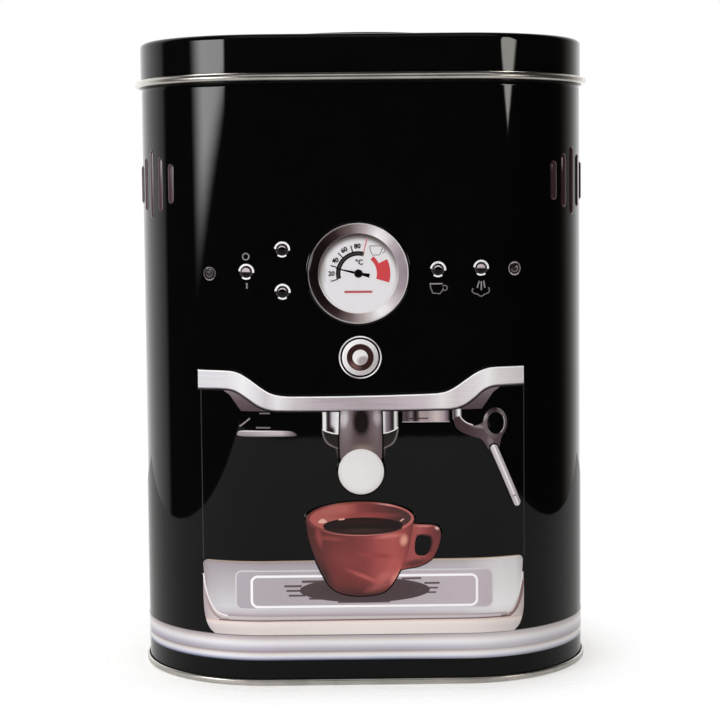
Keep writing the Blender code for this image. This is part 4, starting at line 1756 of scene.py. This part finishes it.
@dataclass(frozen=True)
class DripTray:
    """The drip tray drawn in perspective under the cup, in mm."""

    press: Press

    def frame(
        self, name: str, left: float, low: float, right: float, high: float, width: float, ink: Ink,
        layer: int,
    ) -> None:
        """Prints a thin rounded frame.

        Args:
            name: the piece's name.
            left: its outer left edge.
            low: its outer lower edge.
            right: its outer right edge.
            high: its outer upper edge.
            width: the line's width.
            ink: its ink.
            layer: the passes of ink under it.
        """
        radius = 2.2
        corners = (
            (right - radius, high - radius, 0), (left + radius, high - radius, 90),
            (left + radius, low + radius, 180), (right - radius, low + radius, 270),
        )
        outer: Outline = []
        inner: Outline = []
        for x, z, start in corners:
            outer += arc((x, z), radius, start, 90, 8)
            inner += arc((x, z), radius - width, start, 90, 8)
        self.press.add(Motif(name, ink, (outer,), hole=inner, layer=layer))

    def build(self) -> None:
        """Prints the tray's body, its deck, the frames on it and its lit edges."""
        front = flowing(
            [(-49.15, 32.8), (-49.15, 26.0), (-48.7, 20.9), (-47.3, 17.2), (-45.0, 15.2)], 5, closed=False
        )
        front += flowing(
            [(45.7, 15.2), (47.9, 17.4), (49.1, 21.0), (49.4, 26.0), (49.25, 33.0)], 5, closed=False
        )
        deck = flowing(
            [(48.75, 33.2), (48.1, 28.8), (46.9, 24.8), (45.2, 22.2), (43.0, 21.3)], 5, closed=False
        )
        deck = flowing(
            [(-42.5, 21.2), (-44.7, 22.1), (-46.5, 24.8), (-47.9, 28.8), (-48.8, 33.2)], 5, closed=False
        )[::-1] + deck[::-1]
        deck += [(49.0, 36.6)] + arc((47.5, 36.7), 1.5, 0, 90, 6) + arc((-47.6, 36.2), 1.5, 90, 90, 6)
        deck_ink = Ink(
            "tray_deck_ink",
            "#a89fa6",
            (
                upward(
                    (21.2, "#a3979e"), (22.4, "#bfb9c0"), (24.0, "#c9c8cc"), (27.0, "#c0bdc1"),
                    (30.0, "#b6b0b5"), (33.5, "#aba5aa"), (36.4, "#a098a0"), (37.5, "#93898c"),
                    (38.0, "#b3a190"),
                ),
                across(
                    (-49.5, "#776d70c0"), (-47, "#8a80844c"), (-43, "#8f868a18"), (0, "#ffffff00"),
                    (30, "#ffffff24"), (41, "#ffffff78"), (46.5, "#ffffff80"), (49, "#ffffff40"),
                ),
            ),
            mottle=0.04,
        )
        body_ink = Ink(
            "tray_front_ink",
            "#dcd4d1",
            (
                across(
                    (-49, "#a3969a"), (-45, "#c2b7b6"), (-34, "#d2c8c6"), (0, "#dfd7d4"), (34, "#dad0ce"),
                    (46, "#d0c6c5"), (49.3, "#b5aaab"),
                ),
                upward(
                    (16.3, "#b4afb800"), (17, "#dfd5d500"), (19.0, "#efe4dc80"), (19.7, "#cbab9d90"),
                    (20.4, "#bdb5ba00"),
                ),
            ),
        )
        well_ink = Ink(
            "tray_well_ink", "#ada4ad", (across((-38, "#a9a2aa"), (0, "#afa6ac"), (39, "#b9afb6")),)
        )
        lip_ink = Ink(
            "tray_lip_ink", "#bfb6b9", (upward((20.1, "#b3a9b0"), (20.7, "#c6bebf"), (21.3, "#9f9297")),)
        )
        line_ink = Ink("tray_line_ink", "#cbc6cd")
        white_ink = Ink("tray_frame_ink", "#f1eff3")
        edge_ink = Ink("tray_edge_ink", "#e2dee0")
        seam_ink = Ink("tray_seam_ink", "#6f5a59")
        top_ink = Ink("tray_top_line_ink", "#a8937e")
        left_edge = flowing(
            [(-49.0, 33.4), (-48.5, 30.0), (-47.2, 26.0), (-45.4, 23.0), (-43.4, 21.6), (-41.0, 21.1)],
            6,
            closed=False,
        )
        right_edge = flowing(
            [(48.9, 33.0), (48.3, 29.4), (47.0, 25.4), (45.2, 22.4), (43.4, 21.2)], 6, closed=False
        )
        left_shade = flowing(
            [(-48.7, 30.5), (-48.0, 26.2), (-46.6, 22.9), (-44.9, 21.0), (-43.0, 20.2), (-40.5, 19.95)],
            6,
            closed=False,
        )
        right_shade = flowing(
            [(49.0, 30.5), (48.4, 26.4), (47.2, 23.2), (45.8, 21.2), (44.2, 20.4), (41.5, 20.15)],
            6,
            closed=False,
        )
        self.press.print_all(
            Motif("tray_front", body_ink, (front,), layer=1),
            Motif("tray_deck", deck_ink, (deck,), layer=2),
            Motif("tray_lip", lip_ink, (box(-43.5, 20.05, 44.4, 21.35),), layer=3, corner=0.5),
            Motif("tray_seam", seam_ink, (capsule((-43.6, 19.75), (44.6, 20.05), 0.35),), layer=4),
            Motif(
                "tray_lip_shade",
                Ink(
                    "tray_shade_ink", "#94807f",
                    (across((-49, "#a39294"), (0, "#7d6461"), (49, "#8a7070")),),
                ),
                (stroke(left_shade, 0.75), stroke(right_shade, 0.85)),
                layer=3,
            ),
            Motif("tray_left_edge", edge_ink, (stroke(left_edge, 0.5),), layer=4),
            Motif("tray_right_edge", edge_ink, (stroke(right_edge, 0.5),), layer=4),
            Motif(
                "tray_top_line", top_ink, (stroke([(-47.6, 37.72), (0, 37.92), (47.5, 38.2)], 0.25),),
                layer=3,
            ),
        )
        self.press.add(
            Motif("tray_well", well_ink, (box(-38.3, 23.2, 39.0, 35.0),), layer=2, corner=2.2, floor=0.012)
        )
        self.frame("tray_well_line", -38.4, 23.1, 39.1, 35.1, 0.45, line_ink, 3)
        self.frame("tray_grille_frame", -33.7, 23.65, 34.5, 33.6, 0.75, white_ink, 4)


@dataclass(frozen=True)
class Vents:
    """Five upright embossed slots round each front corner, in mm."""

    press: Press
    places: tuple[float, ...] = (61.0, 66.4, 72.0, 77.5, 82.7)
    lengths: tuple[float, ...] = (12.0, 16.4, 20.9, 16.4, 12.0)
    middle: float = 150.75
    widths: tuple[float, float] = (2.5, 3.1)

    def build(self) -> None:
        """Prints the slots of both corners."""
        for name, side, width in (("left", -1, self.widths[0]), ("right", 1, self.widths[1])):
            for index, (place, length) in enumerate(zip(self.places, self.lengths)):
                centre = side * place - self.press.register
                half = (length - width) / 2
                ends = ((centre, self.middle - half), (centre, self.middle + half))
                shade = across(
                    (-1.65, "#2a1b1e"), (-0.6, "#3f2a2e"), (0.6, "#46323a"), (1.15, "#6d6467"),
                    (1.65, "#4a4144"), start=(centre, 0.0),
                )
                ink = Ink(f"vent_ink_{name}_{index}", "#3f2a2e", (shade,))
                self.press.add(
                    Motif(f"vent_{name}_{index}", ink, (capsule(*ends, width),), rise=0.4, slope=0.8)
                )


# --------------------------------------------------------------------------- studio


@dataclass(frozen=True)
class Softbox:
    """A light panel, given by the bearing and the elevation of its corners seen from the tin.

    Bearing 0 is in front of the tin, and 90 to its right. Corners run counter-clockwise from the low left.
    """

    name: str
    corners: tuple[Point, Point, Point, Point]
    power: float
    colour: str = "#ffffff"
    distance: float = 1.6
    soft: tuple[float, float, float, float] = (0.12, 0.12, 0.12, 0.12)


@dataclass(frozen=True)
class Studio:
    """A pale floor, white surroundings behind, soft panels and the camera, in metres."""

    camera: tuple[float, float, float] = (-6.0872 * MM, -588.0 * MM, 147.4886 * MM)
    yaw: float = 0.5148
    pitch: float = 3.97398
    roll: float = -0.54661
    lens: float = 91.8289
    shift: Point = (0.0, -0.055556)
    middle: float = 0.1
    surround: float = 1.75
    footprint: Point = (29 * MM, 5 * MM)
    softboxes: tuple[Softbox, ...] = (
        Softbox(
            "softbox_left", ((-69, -3.8), (-36, 5.0), (-36, 15), (-73, 15)), 23.5,
            soft=(0.42, 0.08, 0.3, 0.1),
        ),
        Softbox("softbox_right", ((39.5, 7.4), (46.2, 3.9), (56, 7.8), (42, 16)), 24.0, "#fffaf4"),
        Softbox("softbox_top", ((-45, 30), (45, 30), (60, 78), (-60, 78)), 1.0),
    )

    def panel_material(self, softbox: Softbox) -> bpy.types.Material:
        """The glow of a panel, which fades at its edges.

        Args:
            softbox: the panel.

        Returns:
            The material.
        """
        made = bpy.data.materials.new(softbox.name + "_glow")
        made.use_nodes = True
        tree = made.node_tree
        tree.nodes.clear()
        uv = add_node(tree, "ShaderNodeUVMap", uv_map="UVMap").outputs["UV"]
        parts = add_node(tree, "ShaderNodeSeparateXYZ", {"Vector": uv})
        light: Any = None
        left, right, low, high = softbox.soft
        for axis, start, end in (
            ("X", 0.0, left), ("X", 1.0, 1.0 - right), ("Y", 0.0, low), ("Y", 1.0, 1.0 - high)
        ):
            fade = {"Value": parts.outputs[axis], 1: start, 2: end, 3: 0.0, 4: 1.0}
            edge = add_node(tree, "ShaderNodeMapRange", fade, interpolation_type="SMOOTHSTEP").outputs[0]
            light = edge if light is None else add_node(
                tree, "ShaderNodeMath", {0: light, 1: edge}, operation="MULTIPLY"
            ).outputs[0]
        power = add_node(tree, "ShaderNodeMath", {0: light, 1: softbox.power}, operation="MULTIPLY")
        glow = {"Color": linear(softbox.colour), "Strength": power.outputs[0]}
        shaded = add_node(tree, "ShaderNodeEmission", glow)
        add_node(tree, "ShaderNodeOutputMaterial", {"Surface": shaded.outputs[0]})
        return made

    def build_panel(self, softbox: Softbox) -> None:
        """Makes a light panel as a patch of a large sphere round the tin.

        Args:
            softbox: the panel.
        """
        bm = bmesh.new()
        bm.loops.layers.uv.new("UVMap")
        bmesh.ops.create_grid(bm, x_segments=12, y_segments=12, size=1, calc_uvs=True)
        low_left, low_right, high_right, high_left = (Vector(corner) for corner in softbox.corners)
        for vert in bm.verts:
            u, v = (vert.co.x + 1) / 2, (vert.co.y + 1) / 2
            bearing, elevation = low_left.lerp(low_right, u).lerp(high_left.lerp(high_right, u), v)
            turn, lift = math.radians(bearing), math.radians(elevation)
            reach = softbox.distance * math.cos(lift)
            vert.co = (
                reach * math.sin(turn), -reach * math.cos(turn),
                self.middle + softbox.distance * math.sin(lift),
            )
        mesh = bpy.data.meshes.new(softbox.name)
        bm.to_mesh(mesh)
        bm.free()
        mesh.materials.append(self.panel_material(softbox))
        panel = bpy.data.objects.new(softbox.name, mesh)
        panel.visible_camera = False
        bpy.context.scene.collection.objects.link(panel)

    def build_floor(self) -> None:
        """Makes a pale matt table, lit a little from below, that ends some way in front of the tin."""
        bm = bmesh.new()
        bmesh.ops.create_grid(bm, x_segments=4, y_segments=4, size=1)
        for vert in bm.verts:
            vert.co = (vert.co.x * 0.335, -0.12 + vert.co.y * 0.485, -0.0002)
        mesh = bpy.data.meshes.new("studio_floor")
        bm.to_mesh(mesh)
        bm.free()
        made = bpy.data.materials.new("matt_white_table")
        made.use_nodes = True
        tree = made.node_tree
        tree.nodes.clear()
        flat = add_node(tree, "ShaderNodeTexCoord").outputs["Object"]
        fibre = add_node(tree, "ShaderNodeTexNoise", {"Vector": flat, "Scale": 1 / (3 * MM), "Detail": 3.0})
        mixed = {0: 0.04, 6: linear("#f4f3f1"), 7: fibre.outputs["Fac"]}
        colour = add_node(tree, "ShaderNodeMix", mixed, data_type="RGBA", blend_type="OVERLAY").outputs[2]
        shader = {"Base Color": colour, "Roughness": 0.85, "Specular IOR Level": 0.1}
        shader |= {"Emission Color": linear("#ffffff"), "Emission Strength": 0.36}
        shaded = add_node(tree, "ShaderNodeBsdfPrincipled", shader)
        folded = add_node(tree, "ShaderNodeVectorMath", {0: flat}, operation="ABSOLUTE").outputs[0]
        core = (self.footprint[0], self.footprint[1], 1.0)
        past = add_node(tree, "ShaderNodeVectorMath", {0: folded, 1: core}, operation="SUBTRACT").outputs[0]
        past = add_node(tree, "ShaderNodeVectorMath", {0: past, 1: (0, 0, 0)}, operation="MAXIMUM").outputs[0]
        reach = add_node(tree, "ShaderNodeVectorMath", {0: past}, operation="LENGTH").outputs["Value"]
        fade = {"Value": reach, 1: 30 * MM, 2: 66 * MM, 3: 0.0, 4: 1.0}
        away = add_node(tree, "ShaderNodeMapRange", fade, interpolation_type="SMOOTHSTEP").outputs[0]
        eye = add_node(tree, "ShaderNodeLightPath").outputs["Is Camera Ray"]
        gone = add_node(tree, "ShaderNodeMath", {0: away, 1: eye}, operation="MULTIPLY").outputs[0]
        clear = add_node(tree, "ShaderNodeBsdfTransparent").outputs[0]
        mixed = add_node(tree, "ShaderNodeMixShader", {0: gone, 1: shaded.outputs["BSDF"], 2: clear})
        add_node(tree, "ShaderNodeOutputMaterial", {"Surface": mixed.outputs[0]})
        mesh.materials.append(made)
        floor = bpy.data.objects.new("studio_floor", mesh)
        bpy.context.scene.collection.objects.link(floor)

    def build_world(self) -> None:
        """Makes surroundings that are white behind the tin, dark in front, and white to the eye."""
        world = bpy.data.worlds.new("white_studio")
        bpy.context.scene.world = world
        world.use_nodes = True
        tree = world.node_tree
        tree.nodes.clear()
        seen = add_node(tree, "ShaderNodeTexCoord").outputs["Generated"]
        parts = add_node(tree, "ShaderNodeSeparateXYZ", {"Vector": seen})
        side = add_node(
            tree, "ShaderNodeMapRange", {"Value": parts.outputs["X"], 1: -0.2, 2: 0.2, 3: 0.0, 4: 1.0}
        )
        left_stops = (
            (0.0, "#141312"), (0.22, "#141312"), (0.31, "#cbcbcb"), (0.48, "#eeeeee"), (0.8, "#ffffff")
        )
        right_stops = (
            (0.0, "#141312"), (0.3, "#2a2826"), (0.4, "#585450"), (0.56, "#a6a29e"), (0.67, "#d6d4d2"),
            (0.8, "#ffffff"),
        )
        left = add_node(tree, "ShaderNodeValToRGB", {"Fac": parts.outputs["Y"]}, left_stops)
        right = add_node(tree, "ShaderNodeValToRGB", {"Fac": parts.outputs["Y"]}, right_stops)
        mixed = {0: side.outputs[0], 6: left.outputs["Color"], 7: right.outputs["Color"]}
        ramp = add_node(tree, "ShaderNodeMix", mixed, data_type="RGBA").outputs[2]
        eye = add_node(tree, "ShaderNodeLightPath").outputs["Is Camera Ray"]
        mixed = {0: eye, 6: ramp, 7: linear("#ffffff")}
        colour = add_node(tree, "ShaderNodeMix", mixed, data_type="RGBA").outputs[2]
        strength = add_node(tree, "ShaderNodeMapRange", {"Value": eye, 3: self.surround, 4: 1.0}).outputs[0]
        back = add_node(tree, "ShaderNodeBackground", {"Color": colour, "Strength": strength})
        add_node(tree, "ShaderNodeOutputWorld", {"Surface": back.outputs[0]})

    def build_camera(self) -> None:
        """Makes the camera: level with the tin's upper part, looking slightly down."""
        data = bpy.data.cameras.new("camera")
        data.lens = self.lens
        data.sensor_width = 36.0
        data.shift_x, data.shift_y = self.shift
        data.clip_start = 0.01
        data.clip_end = 20.0
        camera = bpy.data.objects.new("camera", data)
        bpy.context.scene.collection.objects.link(camera)
        turn = Matrix.Rotation(math.radians(-self.yaw), 4, "Z") @ Matrix.Rotation(
            math.radians(-self.pitch), 4, "X"
        )
        turn = turn @ Matrix.Rotation(
            math.radians(-self.roll), 4, "Y"
        ) @ Matrix.Rotation(math.radians(90), 4, "X")
        camera.matrix_world = Matrix.Translation(self.camera) @ turn
        bpy.context.scene.camera = camera

    def build(self) -> None:
        """Makes the whole studio."""
        bpy.context.scene.view_settings.view_transform = "Standard"
        self.build_world()
        self.build_floor()
        for softbox in self.softboxes:
            self.build_panel(softbox)
        self.build_camera()


def main() -> None:
    """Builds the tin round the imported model, then its studio."""
    logging.basicConfig(level=logging.INFO, format="%(name)s: %(message)s")
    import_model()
    rim = BottomEnd.reach
    _, end_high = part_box("bottom_end")
    wall_low, wall_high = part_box("body_wall")
    lid_low, lid_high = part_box("lid")
    girth = Girth(end_high.x - rim, end_high.y - rim)
    press = Press(girth)
    BodyWall(girth, wall_low.z, wall_high.z).build(press)
    BottomEnd(girth).build()
    Lid(girth, lid_low.z, lid_high.z).build()
    Bands(press).build()
    Vents(press).build()
    Gauge(press).build()
    Controls(press).build()
    BrewingGroup(press).build()
    DripTray(press).build()
    Cup(press).build()
    Studio().build()


if __name__ == "__main__":
    main()
